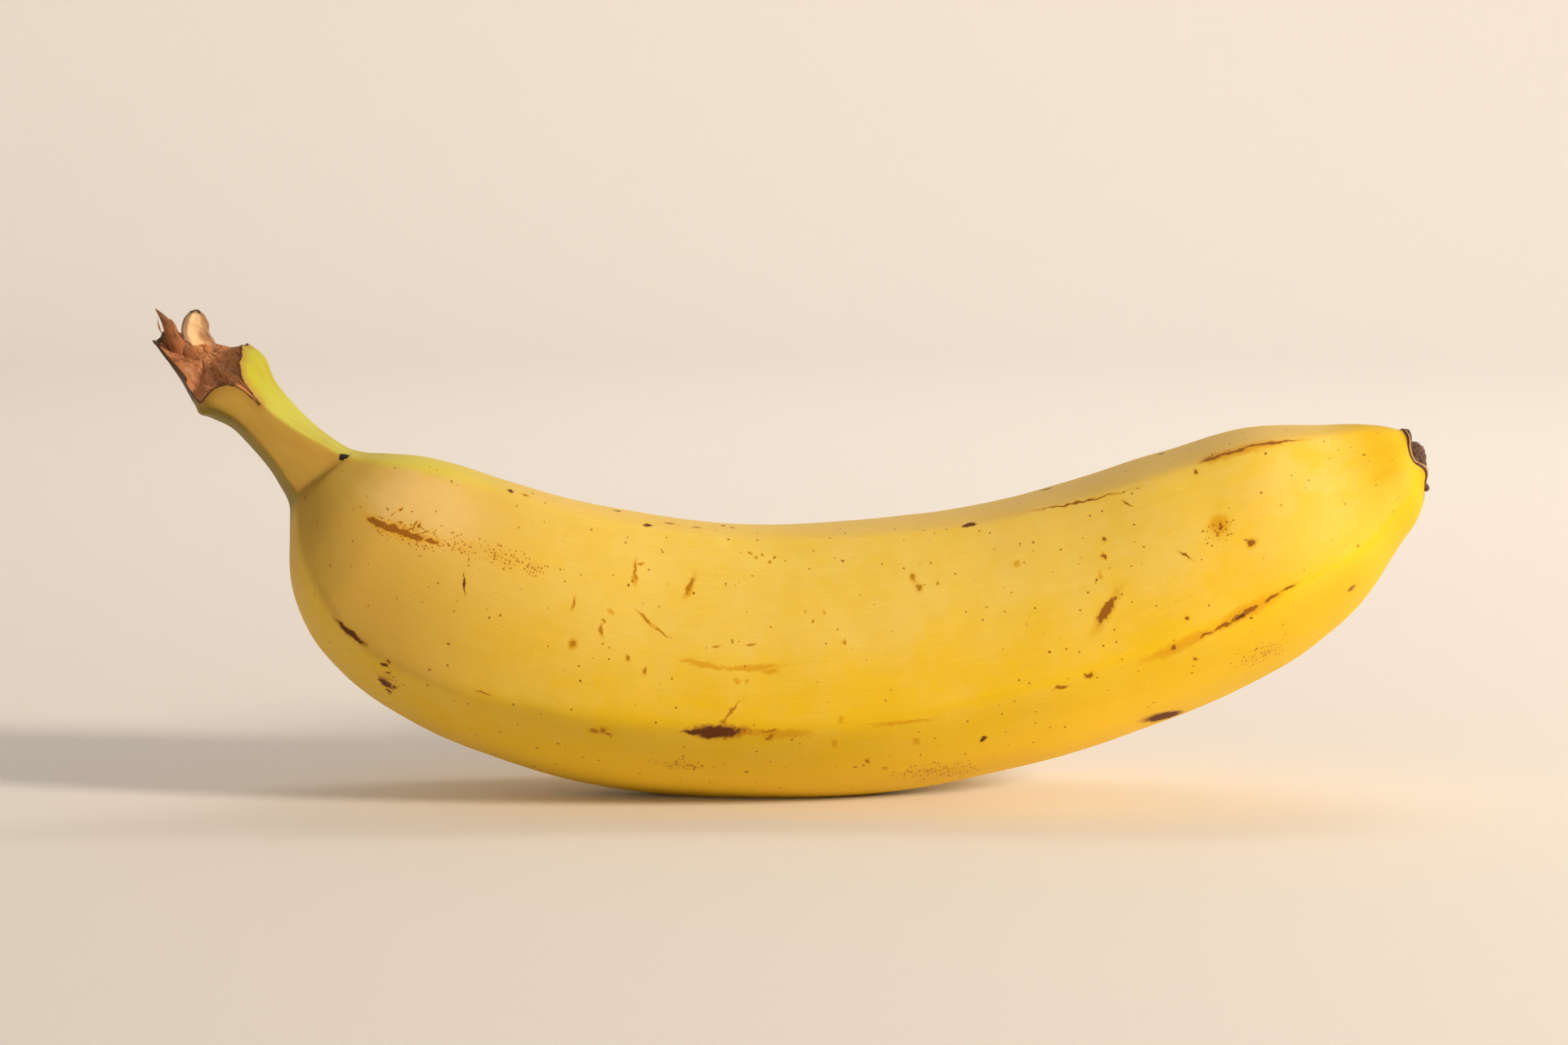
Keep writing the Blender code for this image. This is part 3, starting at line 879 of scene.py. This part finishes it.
# marks on the skin: place, arc from the camera's side, half length, half width, turn in degrees
marks = {
    "bruise": (
        (22.0, -14.4, 0.86, 1.0, 27), (23.2, -14.1, 0.41, 0.35, -22), (22.6, -16.3, 0.37, 0.4, 0),
        (21.2, -10.4, 0.5, 0.34, 27), (21.7, -11.6, 0.24, 0.2, 0),
        (27.2, 6.0, 1.5, 0.14, -71), (15.6, -9.7, 2.3, 0.42, 5),
        (65.3, -6.5, 3.3, 0.98, 5), (62.4, -6.8, 1.6, 0.36, 3),
        (103.6, 20.9, 1.02, 0.37, -7), (137.0, -5.4, 0.7, 0.24, 5), (99.6, -12.4, 0.35, 0.58, -27),
        (123.4, -23.8, 3.0, 1.5, -44),
        (29.1, 23.9, 0.58, 0.3, 0), (47.2, 27.7, 0.62, 0.35, 0), (52.4, 23.2, 0.64, 0.31, 0),
        (63.9, 26.9, 0.41, 0.35, 0), (134.9, 29.0, 0.51, 0.4, -9), (117.1, 29.7, 1.06, 0.4, -26),
    ),
    "scar": (
        (93.7, 13.8, 0.5, 0.3, -71), (94.3, 12.1, 0.48, 0.3, -71), (119.9, 2.3, 2.1, 0.5, -137),
        (144.0, 19.3, 1.8, 0.26, 1), (147.0, 19.4, 1.7, 0.18, 1), (137.2, -5.4, 1.4, 0.4, 5),
        (138.8, -5.2, 0.7, 0.3, 5),
        (10.7, 8.05, 1.0, 0.5, 12), (12.2, 8.35, 1.5, 0.66, 12), (14.0, 8.75, 1.6, 0.64, 12),
        (15.7, 9.1, 1.5, 0.66, 12), (17.4, 9.5, 1.1, 0.5, 12), (20.0, 10.2, 0.9, 0.3, 12),
        (13.4, 12.7, 0.49, 0.16, 75), (12.8, 11.2, 0.48, 0.07, 83), (11.5, 11.6, 0.21, 0.15, 72),
        (10.6, 7.9, 0.3, 0.14, 68), (13.0, 8.0, 0.54, 0.09, 69), (15.2, 9.0, 0.46, 0.2, 74),
        (16.3, 10.5, 1.42, 0.08, 66), (16.6, 11.4, 0.44, 0.13, 73), (17.4, 11.5, 0.27, 0.2, 76),
        (18.2, 9.8, 0.27, 0.08, 76), (18.6, 15.2, 0.2, 0.1, -50), (22.6, 13.0, 0.2, 0.13, 51),
        (23.0, 10.6, 0.14, 0.11, 63), (14.4, 10.4, 0.3, 0.15, 32), (18.6, 11.1, 0.73, 0.08, 59),
        (19.8, 11.8, 0.38, 0.08, 71), (21.5, -9.5, 0.22, 0.21, 0), (34.1, -7.4, 0.88, 0.09, 0),
        (48.9, -8.6, 0.6, 0.26, 15), (50.2, -8.3, 0.4, 0.4, 0), (50.9, -8.8, 0.4, 0.2, 0),
        (44.4, 2.4, 0.3, 0.42, 0), (48.0, 5.2, 0.55, 0.14, -81),
        (48.1, 6.5, 0.22, 0.2, 0), (52.2, 1.9, 0.19, 0.3, 0), (43.5, 8.2, 0.7, 0.14, -95),
        (54.8, 0.6, 0.16, 0.36, 0), (51.5, 14.9, 1.3, 0.19, -82), (52.3, 16.3, 0.4, 0.14, 10),
        (54.0, 7.9, 1.1, 0.2, -36), (56.3, 6.2, 0.9, 0.12, -30), (59.7, 13.5, 1.2, 0.3, -107),
        (31.8, 24.0, 0.44, 0.3, 0), (55.6, 25.0, 0.5, 0.3, 0), (59.8, 24.5, 0.47, 0.3, 0),
        (65.4, 26.1, 0.26, 0.3, 0), (66.7, -3.8, 1.59, 0.11, 50), (65.9, -4.9, 0.3, 0.2, 0),
        (71.9, -6.2, 0.9, 0.22, 0), (72.2, -7.2, 0.5, 0.25, 40), (64.5, 4.9, 0.38, 0.1, 0),
        (69.2, 5.4, 0.5, 0.12, 1), (68.7, 19.6, 0.2, 0.14, 0), (69.5, 18.8, 0.19, 0.15, 0),
        (70.4, 19.4, 0.17, 0.14, 0), (71.5, 18.2, 0.2, 0.16, 0), (72.5, 18.7, 0.15, 0.14, 0),
        (97.0, 12.3, 0.14, 0.17, 0), (140.9, 19.3, 1.2, 0.35, 3), (150.2, 19.3, 2.2, 0.24, 2),
        (120.6, 19.7, 4.87, 0.14, -8), (138.1, 17.9, 0.2, 0.3, 0), (138.4, 8.2, 0.6, 0.2, 60),
        (141.9, 3.7, 0.5, 0.42, -28), (141.2, 4.6, 0.3, 0.13, -30), (132.6, 5.9, 0.9, 0.14, -57),
        (141.8, -5.1, 1.1, 0.22, 2), (144.6, -4.9, 1.0, 0.2, 2), (134.3, -5.7, 1.1, 0.3, 4),
        (131.8, -5.9, 0.8, 0.22, 4), (126.9, -5.8, 0.5, 0.32, 40),
        (115.0, -5.5, 0.45, 0.34, 0), (111.0, -6.0, 0.7, 0.2, 0), (129.4, -9.7, 0.22, 0.45, 30),
        (153.8, -14.6, 0.5, 0.5, -62), (156.1, -4.9, 0.16, 0.16, 0), (84.7, -13.0, 0.2, 0.35, 0),
        (82.6, 5.3, 0.16, 0.25, 0), (78.2, 8.5, 0.12, 0.2, 0), (130.0, -2.6, 0.28, 0.16, -35),
        (122.5, 12.7, 0.14, 0.3, 0), (121.8, 10.2, 0.18, 0.3, 0), (127.5, 16.7, 0.5, 0.11, -48),
    ),
    "stain": (
        (62.6, 2.2, 3.2, 0.42, -6), (69.5, 2.1, 4.0, 0.40, 3), (71.9, 1.5, 1.2, 0.34, 0),
        (67.6, 0.3, 0.5, 0.3, 0), (68.9, 0.35, 0.25, 0.3, 0), (77.1, 9.9, 0.25, 0.27, 0),
        (80.0, 9.7, 0.25, 0.31, 0), (109.4, 12.9, 0.52, 0.49, 0), (120.4, 7.5, 0.28, 0.5, 0),
        (81.5, -5.1, 0.4, 0.42, 0), (91.0, -10.0, 0.45, 0.6, 0), (80.6, -8.7, 0.4, 0.52, 0),
        (89.5, -6.2, 4.0, 0.28, -4), (128.3, -5.9, 5.4, 0.9, 3), (138.0, -5.3, 5.0, 1.1, 3),
        (145.5, 19.2, 5.0, 1.0, 1),
        (138.5, 8.6, 1.4, 1.5, -27), (44.4, 2.4, 0.7, 0.7, 0),
        (49.0, 8.1, 0.35, 0.5, 40), (74.0, -6.6, 3.2, 0.7, 0), (86.7, -15.5, 0.3, 0.5, 0),
        (51.7, 13.6, 1.0, 0.5, -82), (59.7, 12.6, 1.0, 0.34, -107),
        (67.0, -6.6, 5.5, 0.6, 2),
    ),
    # where the fine freckles crowd together
    "freckled": (
        (20.5, 10.4, 3.4, 1.5, 14), (25.5, 11.7, 4.0, 2.1, 8), (31.0, 12.3, 4.8, 2.2, 0),
        (36.6, 12.0, 2.6, 1.5, 0), (16.0, 9.0, 6.5, 2.4, 12),
        (93.6, -20.2, 6.6, 3.6, -30), (138.8, -17.0, 5.5, 3.0, -34), (138.4, 7.6, 2.4, 2.6, -27),
        (60.5, -13.5, 4.6, 1.5, 0), (141.6, 20.0, 2.6, 1.0, 0), (22.0, -13.0, 2.2, 2.6, 0),
    ),
    "neckSpot": ((-0.3, 18.2, 2.3, 0.75, 82),),
}

hiddenMarks = {
    "seed": 11,
    # how many there are, and their least and most half length
    "kinds": {"bruise": (9, 0.25, 3.0), "scar": (22, 0.25, 1.6), "stain": (12, 0.25, 3.0)},
    "halfWidths": (0.13, 0.4),
    "places": (8.0, 156.0),
    "arcs": (34.0, 54.0),
    "turns": (0, 4, -6, 80, 30),
}


def marksOnTheBack():
    # the side away from the camera gets marks of the same kinds
    random.seed(hiddenMarks["seed"])
    made = {}
    for kind, (count, least, most) in hiddenMarks["kinds"].items():
        made[kind] = []
        for _ in range(count):
            long = random.uniform(least, most)
            wide = random.uniform(*hiddenMarks["halfWidths"])
            side = random.choice((1, -1))
            place = random.uniform(*hiddenMarks["places"])
            around = side * random.uniform(*hiddenMarks["arcs"])
            made[kind].append((place, around, long, wide, random.choice(hiddenMarks["turns"])))
    return made


backMarks = marksOnTheBack()

zones = {
    # each part of the skin has a material with its own marks alone
    # from where to where along the fruit, and whether it faces the camera
    "bananaSkinNeck": (-60, 16, True),
    "bananaSkinShoulder": (16, 52, True),
    "bananaSkinMiddle": (52, 100, True),
    "bananaSkinTip": (100, 200, True),
    "bananaSkinBack": (-60, 200, False),
}
zoneArc = 32.0  # half of the arc that faces the camera
markReach = (1.8, 1.0)  # a zone also takes marks this share of their size and this many mm outside it
trace = 1e-9  # too little to show

peelLook = {
    "roughness": 0.52,
    "gloss": 0.17,
    "yellow": (0.80, 0.515, 0.018),
    "paleYellowAndSheen": (0.83, 0.595, 0.125),
    "deepYellow": (0.80, 0.515, 0.006),
    "tipYellowShade": (0.68, 0.42, 0.003),
    "goldPatch": (0.74, 0.385, 0.001),
    "bellyBounceLight": (0.93, 0.60, 0.022),
    "tanAndShade": (0.62, 0.38, 0.070),
    "shoulderHighlight": (0.76, 0.53, 0.20),
    "topShadeAndSheen": (0.74, 0.475, 0.135),
    "greenYellow": (0.64, 0.56, 0.045),
    "neckShade": (0.36, 0.23, 0.03),
    "shadedStemOchre": (0.47, 0.29, 0.05),
    "stemOlive": (0.30, 0.215, 0.002),
    "tornOlive": (0.18, 0.125, 0.001),
    "stemGreen": (0.48, 0.455, 0.060),
    "knobGreen": (0.42, 0.395, 0.025),
    "bruise": (0.105, 0.028, 0.007),
    "bruiseEdge": (0.40, 0.15, 0.012),
    "scar": (0.27, 0.086, 0.004),
    "paleScar": (0.44, 0.19, 0.005),
    "stain": (0.68, 0.33, 0.003),
    "freckle": (0.38, 0.13, 0.006),
    "speck": (0.20, 0.062, 0.002),
    "neckSpot": (0.022, 0.013, 0.008),
    "tornOchre": (0.40, 0.21, 0.035),
    "edge": (0.075, 0.028, 0.010),
    "wall": (0.20, 0.075, 0.025),
    "darkWallAndShade": (0.060, 0.030, 0.011),
    "blossomLip": (0.36, 0.19, 0.10),
    "streak": 0.05,
    "grain": 0.12,
    "bump": 0.5,
    "bumpDepth": 0.06,
}


# soft patches on the skin, of its own colour or of painted highlight and shade: their middle, then their
# reach along it and round it
patches = {
    "tipHighlight": ((150, 4), (17, 12)),
    "shoulderHighlight": ((16, 16), (15, 9)),
    "tornShade": ((-15.5, -12.5), (6, 6.5)),
    "gold": ((163.3, 5.4), (3.2, 2.8)),
}


def curled(start, place, around, stretch):
    # a place on the skin as a point on a straight tube, so that patterns run along it and close round it
    turn = around * (1 / peel["mapRadius"])
    radius = peel["mapRadius"]
    sideways = start.maths("COSINE", turn) * radius
    upwards = start.maths("SINE", turn) * radius
    return start.node("ShaderNodeCombineXYZ", {}, {0: place * (1 / stretch), 1: sideways, 2: upwards})


def inTurn(spot, before):
    # the same spot, but worked out only after another value, as Blender can hold few values at once
    settings = {"operation": "MULTIPLY_ADD"}
    return spot.node("ShaderNodeVectorMath", settings, {0: before, 1: (trace, trace, 0), 2: spot})


def markField(spot, kinds, before=None):
    # distance to the nearest mark, as a share of that mark's size; marks with one turn share its axes
    field = None
    for turn in sorted({mark[4] for mark in kinds}):
        bearing = math.radians(turn)
        cosine, sine = math.cos(bearing), math.sin(bearing)
        turned = [mark for mark in kinds if mark[4] == turn]
        for number, (place, around, length, width, _) in enumerate(turned):
            if number % peel["marksAtOnce"] == 0:
                latest = before if field is None else field
                axes = spot if latest is None else inTurn(spot, latest)
                if turn:
                    settings = {"rotation_type": "Z_AXIS"}
                    axes = axes.node("ShaderNodeVectorRotate", settings, {0: axes, "Angle": -bearing})
            along, aside = place * cosine + around * sine, around * cosine - place * sine
            sockets = {0: axes, 1: (1 / length, 1 / width, 0), 2: (-along / length, -aside / width, 0)}
            at = axes.node("ShaderNodeVectorMath", {"operation": "MULTIPLY_ADD"}, sockets)
            gap = at.node("ShaderNodeVectorMath", {"operation": "LENGTH"}, {0: at}, 1)
            field = gap if field is None else field.least(gap)
    return field


dots = {
    "grown": (0.9, 0.45),  # how much dots of one kind differ in size, and the least of them
    "edge": (1.3, 0.75),
    # size of the cells that hold a dot each, and the dot's radius
    "fine": (0.5, 0.15),
    "small": (1.9, 0.11),
    "large": (4.6, 0.18),
    # share of the cells with a dot: where they crowd together, and elsewhere
    "fineShare": (0.6, 0.006),
    "smallShare": (0.2, 0.01),
    "largeShare": 0.16,
}


def specks(spot, size, radius, share):
    # small round dots, in a share of the cells of a size
    settings = {"voronoi_dimensions": "2D"}
    cell = spot.node("ShaderNodeTexVoronoi", settings, {"Vector": spot, "Scale": 1 / size})
    colour = Value(spot.tree, cell.socket.node.outputs["Color"])
    chance = spot.node("ShaderNodeSeparateColor", {}, {0: colour})
    spread, least = dots["grown"]
    grown = Value(spot.tree, chance.socket.node.outputs[1]) * spread + least
    inside = (cell * (size / radius) / grown).fade(*dots["edge"])
    chosen = spot.maths("LESS_THAN", chance, share)
    return inside * chosen


def marksIn(kind, zone):
    # the marks of a kind that reach into a zone
    first, last, facesCamera = zone
    sizes, gap = markReach
    found = []
    for mark in marks[kind] + tuple(backMarks.get(kind, ())):
        reach = sizes * max(mark[2], mark[3]) + gap
        beside = abs(mark[1]) - zoneArc if facesCamera else zoneArc - abs(mark[1])
        if first - reach < mark[0] < last + reach and beside < reach:
            found.append(mark)
    return found


def oval(place, around, middle, reach):
    # distance from a spot on the skin, as a share of its reach along and round
    along = (place - middle[0]) * (1 / reach[0])
    aside = (around - middle[1]) * (1 / reach[1])
    return (along * along + aside * aside) ** 0.5


def peelMaterial(name, zone):
    look = peelLook
    material, shader, start = startMaterial(name, look["roughness"])
    shader.inputs["Specular IOR Level"].default_value = look["gloss"]
    spot = start.node("ShaderNodeUVMap", {"uv_map": "peelMap"})
    split = start.node("ShaderNodeSeparateXYZ", {}, {0: spot})
    place = Value(start.tree, split.socket)
    around = Value(start.tree, split.socket.node.outputs[1])
    upper, lower = attribute(start, "upperFacet"), attribute(start, "lowerFacet")
    upperLine, lowerLine = attribute(start, "upperRidge"), attribute(start, "lowerRidge")
    tube = curled(start, place, around, 1.0)
    streaks = curled(start, place, around, 22.0)

    # broad zones
    blotch = tube.noise(8.0, 2.0, 0.55)
    mottle = tube.noise(2.0, 3.0, 0.6)
    # pale yellow: random pale blotches in the skin's own tone, plus a painted sheen along the upper
    # middle of the front and a painted soft highlight near the tip
    tipHighlight = oval(place, around, *patches["tipHighlight"]).fade(1.1, 0.2) * 0.6
    pale = (blotch.fade(0.28, 0.74) * 0.4 + around.fade(-3, 10) * 0.5).most(tipHighlight)
    pale = pale + (mottle - 0.5) * 0.4
    colour = pale.mixed(look["yellow"], look["paleYellowAndSheen"])
    # the shoulder's own tan, darkened as painted shade towards the stem end, with less of it on the
    # lower facet
    shoulder = place.fade(54, 12) * (1 - lower * 0.75)
    colour = (shoulder * 0.85).mixed(colour, look["tanAndShade"])
    deep = (around.fade(3, -9) * place.fade(30, 80) * 0.55).most(lowerLine * place.fade(22, 60) * 0.85)
    deep = deep.most(place.fade(120, 158) * blotch.fade(0.65, 0.35) * 0.35)
    colour = deep.mixed(colour, look["deepYellow"])
    # painted light: the lower front is brightened as if lit by light bounced up from the floor
    bellyBounce = around.fade(-8, -18) * place.fade(20, 60) * place.fade(150, 110)
    colour = bellyBounce.mixed(colour, look["bellyBounceLight"])
    # deeper yellow at the tip and on the lower side before it: its own deeper colour, darkened further
    # as painted shade
    deepTipShade = place.fade(154, 164).most(around.fade(-5, -12) * place.fade(120, 150) * 0.6)
    colour = (deepTipShade * 0.9).mixed(colour, look["tipYellowShade"])
    # painted soft highlight on the shoulder, broken up by the blotch noise
    shoulderHighlight = oval(place, around, *patches["shoulderHighlight"]) + (blotch - 0.5) * 1.2
    colour = (shoulderHighlight.fade(1.1, 0.2) * 0.65).mixed(colour, look["shoulderHighlight"])
    # painted shade and painted reflection: the upper facet is greyer and darker, and more so towards the
    # tip
    topFacet = upper * around.fade(33, 27) * place.fade(163, 150)
    colour = (topFacet * (place.fade(62, 110) * 0.35 + 0.25)).mixed(colour, look["topShadeAndSheen"])
    colour = (place.fade(40, 8) * upper.most(upperLine) * 0.85).mixed(colour, look["greenYellow"])
    colour = (place.fade(10, 1) * 0.4).mixed(colour, look["neckShade"])

    # stem
    if zone[0] < 0:
        # the stem's front facet is ochre and its lower facet olive; the front facet's ochre is its own
        # colour, made darker than the lit upper facet as painted shade
        stem = lower.mixed(look["shadedStemOchre"], look["stemOlive"])
        green = place.fade(-11, -17).mixed(look["stemGreen"], look["knobGreen"])
        stem = (upper.most(upperLine * 0.6)).mixed(stem, green)
        stem = (blotch.fade(0.45, 0.65) * 0.25).mixed(stem, look["tornOchre"])
        shade = oval(place, around, *patches["tornShade"]).fade(1.1, 0.1) * 0.9
        stem = shade.most(around.fade(-10, -20) * 0.3).mixed(stem, look["tornOlive"])
        colour = place.fade(2.0, -1.0).mixed(colour, stem)

    # marks, the palest first
    shake = tube.noise(1.3, 1.0, 0.6, out=1)
    nudge = shake.vector("SUBTRACT", (0.5, 0.5, 0.5)).vector("MULTIPLY", (1.1, 1.1, 0))
    warped = spot.vector("ADD", nudge)
    crumb = tube.noise(0.45, 1.0, 0.6) - 0.5
    latest = None
    fields = {}
    for kind in ("freckled", "stain", "scar", "bruise", "neckSpot"):
        kinds = marksIn(kind, zone)
        if kinds:
            latest = fields[kind] = markField(spot if kind == "freckled" else warped, kinds, latest)
    if "freckled" in fields:
        colour = (fields["freckled"].fade(1.1, 0.0) * 0.3).mixed(colour, look["stain"])
    if "stain" in fields:
        colour = ((fields["stain"] + crumb * 0.9).fade(1.5, 0.5) * 0.8).mixed(colour, look["stain"])
    if "scar" in fields:
        scar = fields["scar"] + crumb * 0.8
        colour = (scar.fade(2.6, 1.0) * 0.6).mixed(colour, look["stain"])
        pale = place.fade(24, 40) * place.fade(116, 102)
        colour = (scar.fade(1.35, 0.85) * 0.92).mixed(colour, pale.mixed(look["scar"], look["paleScar"]))
    rough = blotch * 0.14 + (look["roughness"] - 0.07)
    if "bruise" in fields:
        bruise = fields["bruise"] + crumb * 0.7
        colour = (bruise.fade(1.5, 0.95) * 0.75).mixed(colour, look["bruiseEdge"])
        colour = (bruise.fade(1.1, 0.75) * 0.95).mixed(colour, look["bruise"])
        rough = rough + bruise.fade(1.1, 0.7) * 0.15

    # freckles
    crowded, share = dots["fineShare"]
    if "freckled" in fields:
        share = fields["freckled"].fade(1.3, 0.2) * crowded + share
    fine = specks(spot, *dots["fine"], share)
    colour = (fine * 0.85).mixed(colour, look["freckle"])
    crowded, share = dots["smallShare"]
    small = specks(spot, *dots["small"], blotch.fade(0.44, 0.64) * crowded + share)
    large = specks(warped, *dots["large"], dots["largeShare"])
    colour = (small.most(large) * 0.9).mixed(colour, look["speck"])
    if "neckSpot" in fields:
        colour = fields["neckSpot"].fade(1.2, 0.8).mixed(colour, look["neckSpot"])

    # torn edge and blossom edge
    inside = attribute(start, "inside")
    if zone[0] < 0:
        torn = attribute(start, "tornEdge") + crumb * 0.5
        high = place.fade(-18.5, -21.5) * around.fade(-11, -16)
        colour = (torn.fade(1.6, 0.3) * 0.7).mixed(colour, look["tornOchre"])
        # the top of the torn wall on the outer curve: its own dark brown, deepened to near black as
        # painted shade
        colour = (high * 0.9).mixed(colour, look["darkWallAndShade"])
        colour = torn.fade(0.3, 0.12).mixed(colour, look["edge"])
        # the inside of the torn wall, darker towards the outer curve, partly its own brown and partly
        # painted shade
        wall = around.fade(-11, -17).mixed(look["wall"], look["darkWallAndShade"])
        colour = (inside * place.fade(0, -5)).mixed(colour, wall)
    if zone[1] > blossomPlace:
        gold = oval(place, around, *patches["gold"]).fade(1.1, 0.1)
        colour = (gold * 0.8).mixed(colour, look["goldPatch"])
        colour = (inside * place.fade(100, 110) * 0.9).mixed(colour, look["blossomLip"])
        colour = attribute(start, "blossomEdge").fade(0.3, 0.14).mixed(colour, look["edge"])

    # fine streaks along it
    streak = streaks.noise(0.42, 2.0, 0.6) - 0.5
    light = 1 + streak * (2 * look["streak"])
    tone = light.node("ShaderNodeCombineXYZ", {}, {0: light, 1: light, 2: light})
    feed(shader, "Base Color", colour.vector("MULTIPLY", tone))
    feed(shader, "Roughness", rough)
    height = streak * 0.4 + tube.noise(0.5, 0.0) * (look["grain"] * 4)
    feedBump(shader, height, look["bump"], look["bumpDepth"])
    return material


def splitIntoZones(piece):
    # every face gets the material of the zone that its first corner is in
    mesh = piece.data
    firstCorners = np.empty(len(mesh.polygons), np.int32)
    mesh.polygons.foreach_get("loop_start", firstCorners)
    spots = np.empty(len(mesh.loops) * 2, np.float32)
    mesh.uv_layers["peelMap"].uv.foreach_get("vector", spots)
    place, around = spots.reshape(-1, 2)[firstCorners].T
    chosen = np.zeros(len(firstCorners), np.int32)
    for number, (first, last, facesCamera) in enumerate(zones.values()):
        within = (place >= first) & (place < last) & ((np.abs(around) < zoneArc) == facesCamera)
        chosen[within] = number
    mesh.polygons.foreach_set("material_index", chosen)


stemWay = (-0.67, 0.743)  # which way the stem points, in x and z


def stemSpot(start, stretch):
    # a point in mm along the stem, across it and away from the camera, drawn out along the stem
    x, z = (way / millimetre for way in stemWay)
    spot = start.node("ShaderNodeTexCoord", out="Object")
    along = spot.vector("DOT_PRODUCT", (x / stretch, 0, z / stretch), out=1)
    across = spot.vector("DOT_PRODUCT", (z, 0, -x), out=1)
    away = spot.vector("DOT_PRODUCT", (0, 1 / millimetre, 0), out=1)
    return start.node("ShaderNodeCombineXYZ", {}, {0: along, 1: across, 2: away}), across


coreLook = {
    "roughness": 0.8,
    "brown": (0.48, 0.18, 0.062),
    "dark": (0.135, 0.038, 0.013),
    "pale": (0.60, 0.30, 0.15),
    "litOchre": (0.56, 0.235, 0.072),
    "stretch": 5.0,
    "bump": 0.7,
    "bumpDepth": 0.2,
}


def coreMaterial():
    look = coreLook
    material, shader, start = startMaterial("tornPith", look["roughness"])
    fibre, across = stemSpot(start, look["stretch"])
    bump = attribute(start, "bump")
    thread = fibre.noise(0.42, 3.0, 0.6)
    wisp = fibre.noise(0.8, 4.0, 0.7)
    # lighter ochre towards the knob side: painted light on the part of the torn face that turns away
    # from the lamp
    colour = (across.fade(-21.5, -16.5) * 0.8).mixed(look["brown"], look["litOchre"])
    colour = (thread.fade(0.5, 0.34) * 0.5).mixed(colour, look["dark"])
    colour = (bump.fade(0.0, -0.45) * 0.85).mixed(colour, look["dark"])
    colour = (wisp.fade(0.52, 0.64) * bump.fade(-0.2, 0.25) * 0.85).mixed(colour, look["pale"])
    feed(shader, "Base Color", colour)
    feedBump(shader, thread + wisp, look["bump"], look["bumpDepth"])
    return material


flapLook = {
    "roughness": 0.7,
    "cream": (0.93, 0.62, 0.33),
    "peach": (0.90, 0.54, 0.26),
    "grey": (0.32, 0.185, 0.105),
    "dark": (0.11, 0.065, 0.038),
    "shred": (0.38, 0.125, 0.034),
    "shredDark": (0.12, 0.036, 0.012),
    "shredTip": (0.20, 0.105, 0.040),
    "stretch": 3.0,
    "shredStretch": 8.0,
}


def flapMaterial():
    look = flapLook
    material, shader, start = startMaterial("tornFlapSkin", look["roughness"])
    fibre, _ = stemSpot(start, look["stretch"])
    wobble = (fibre.noise(0.7, 3.0) - 0.5) * 0.16
    up, across = attribute(start, "up") + wobble, attribute(start, "across") + wobble
    colour = across.fade(0.45, 0.85).mixed(look["cream"], look["peach"])
    colour = (up.fade(0.45, 0.2) * 0.6).mixed(colour, look["peach"])
    border = across.fade(0.24, 0.10).most(across.fade(0.93, 1.0)).most(up.fade(0.84, 0.94))
    colour = border.mixed(colour, look["grey"])
    colour = up.fade(0.92, 0.99).mixed(colour, look["dark"])
    feed(shader, "Base Color", colour)
    return material


def strandMaterial():
    look = flapLook
    material, shader, start = startMaterial("tornShred", look["roughness"])
    fibre, _ = stemSpot(start, look["shredStretch"])
    thread = fibre.noise(0.3, 3.0, 0.6)
    colour = attribute(start, "up").fade(0.5, 0.95).mixed(look["shred"], look["shredTip"])
    dark = thread.fade(0.5, 0.36).most(attribute(start, "bump").fade(-0.02, -0.12))
    colour = (dark * 0.75).mixed(colour, look["shredDark"])
    feed(shader, "Base Color", colour)
    return material


stubLook = {
    "roughness": 0.85,
    "brown": (0.125, 0.064, 0.042),
    "dark": (0.035, 0.018, 0.012),
    "pale": (0.26, 0.155, 0.105),
    "bump": 0.8,
    "bumpDepth": 0.2,
}


def stubMaterial():
    look = stubLook
    material, shader, start = startMaterial("dryBlossom", look["roughness"])
    spot = start.node("ShaderNodeTexCoord", out="Object").vector("MULTIPLY", (1 / millimetre,) * 3)
    grain = spot.noise(0.3, 3.0, 0.65)
    bump = attribute(start, "bump")
    colour = (grain.fade(0.55, 0.38) * 0.8).most(bump.fade(0.0, -0.3)).mixed(look["brown"], look["dark"])
    colour = (bump.fade(0.05, 0.3) * grain.fade(0.42, 0.6)).mixed(colour, look["pale"])
    feed(shader, "Base Color", colour)
    feedBump(shader, grain, look["bump"], look["bumpDepth"])
    return material


def floorMaterial():
    material, shader, _ = startMaterial("paleStage", studio["floorRoughness"])
    shader.inputs["Base Color"].default_value = (*studio["floorColour"], 1)
    return material


floor.data.materials.append(floorMaterial())
finishPiece(skin, "skin", *[peelMaterial(name, zone) for name, zone in zones.items()])
splitIntoZones(skin)
finishPiece(tornCore, "torn_stem", coreMaterial())
finishPiece(tornFlap, "torn_stem", flapMaterial())
finishPiece(tornStrands, "torn_stem", strandMaterial())
finishPiece(dryStub, "dry_stub", stubMaterial())
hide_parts("banana")
print("materials made")
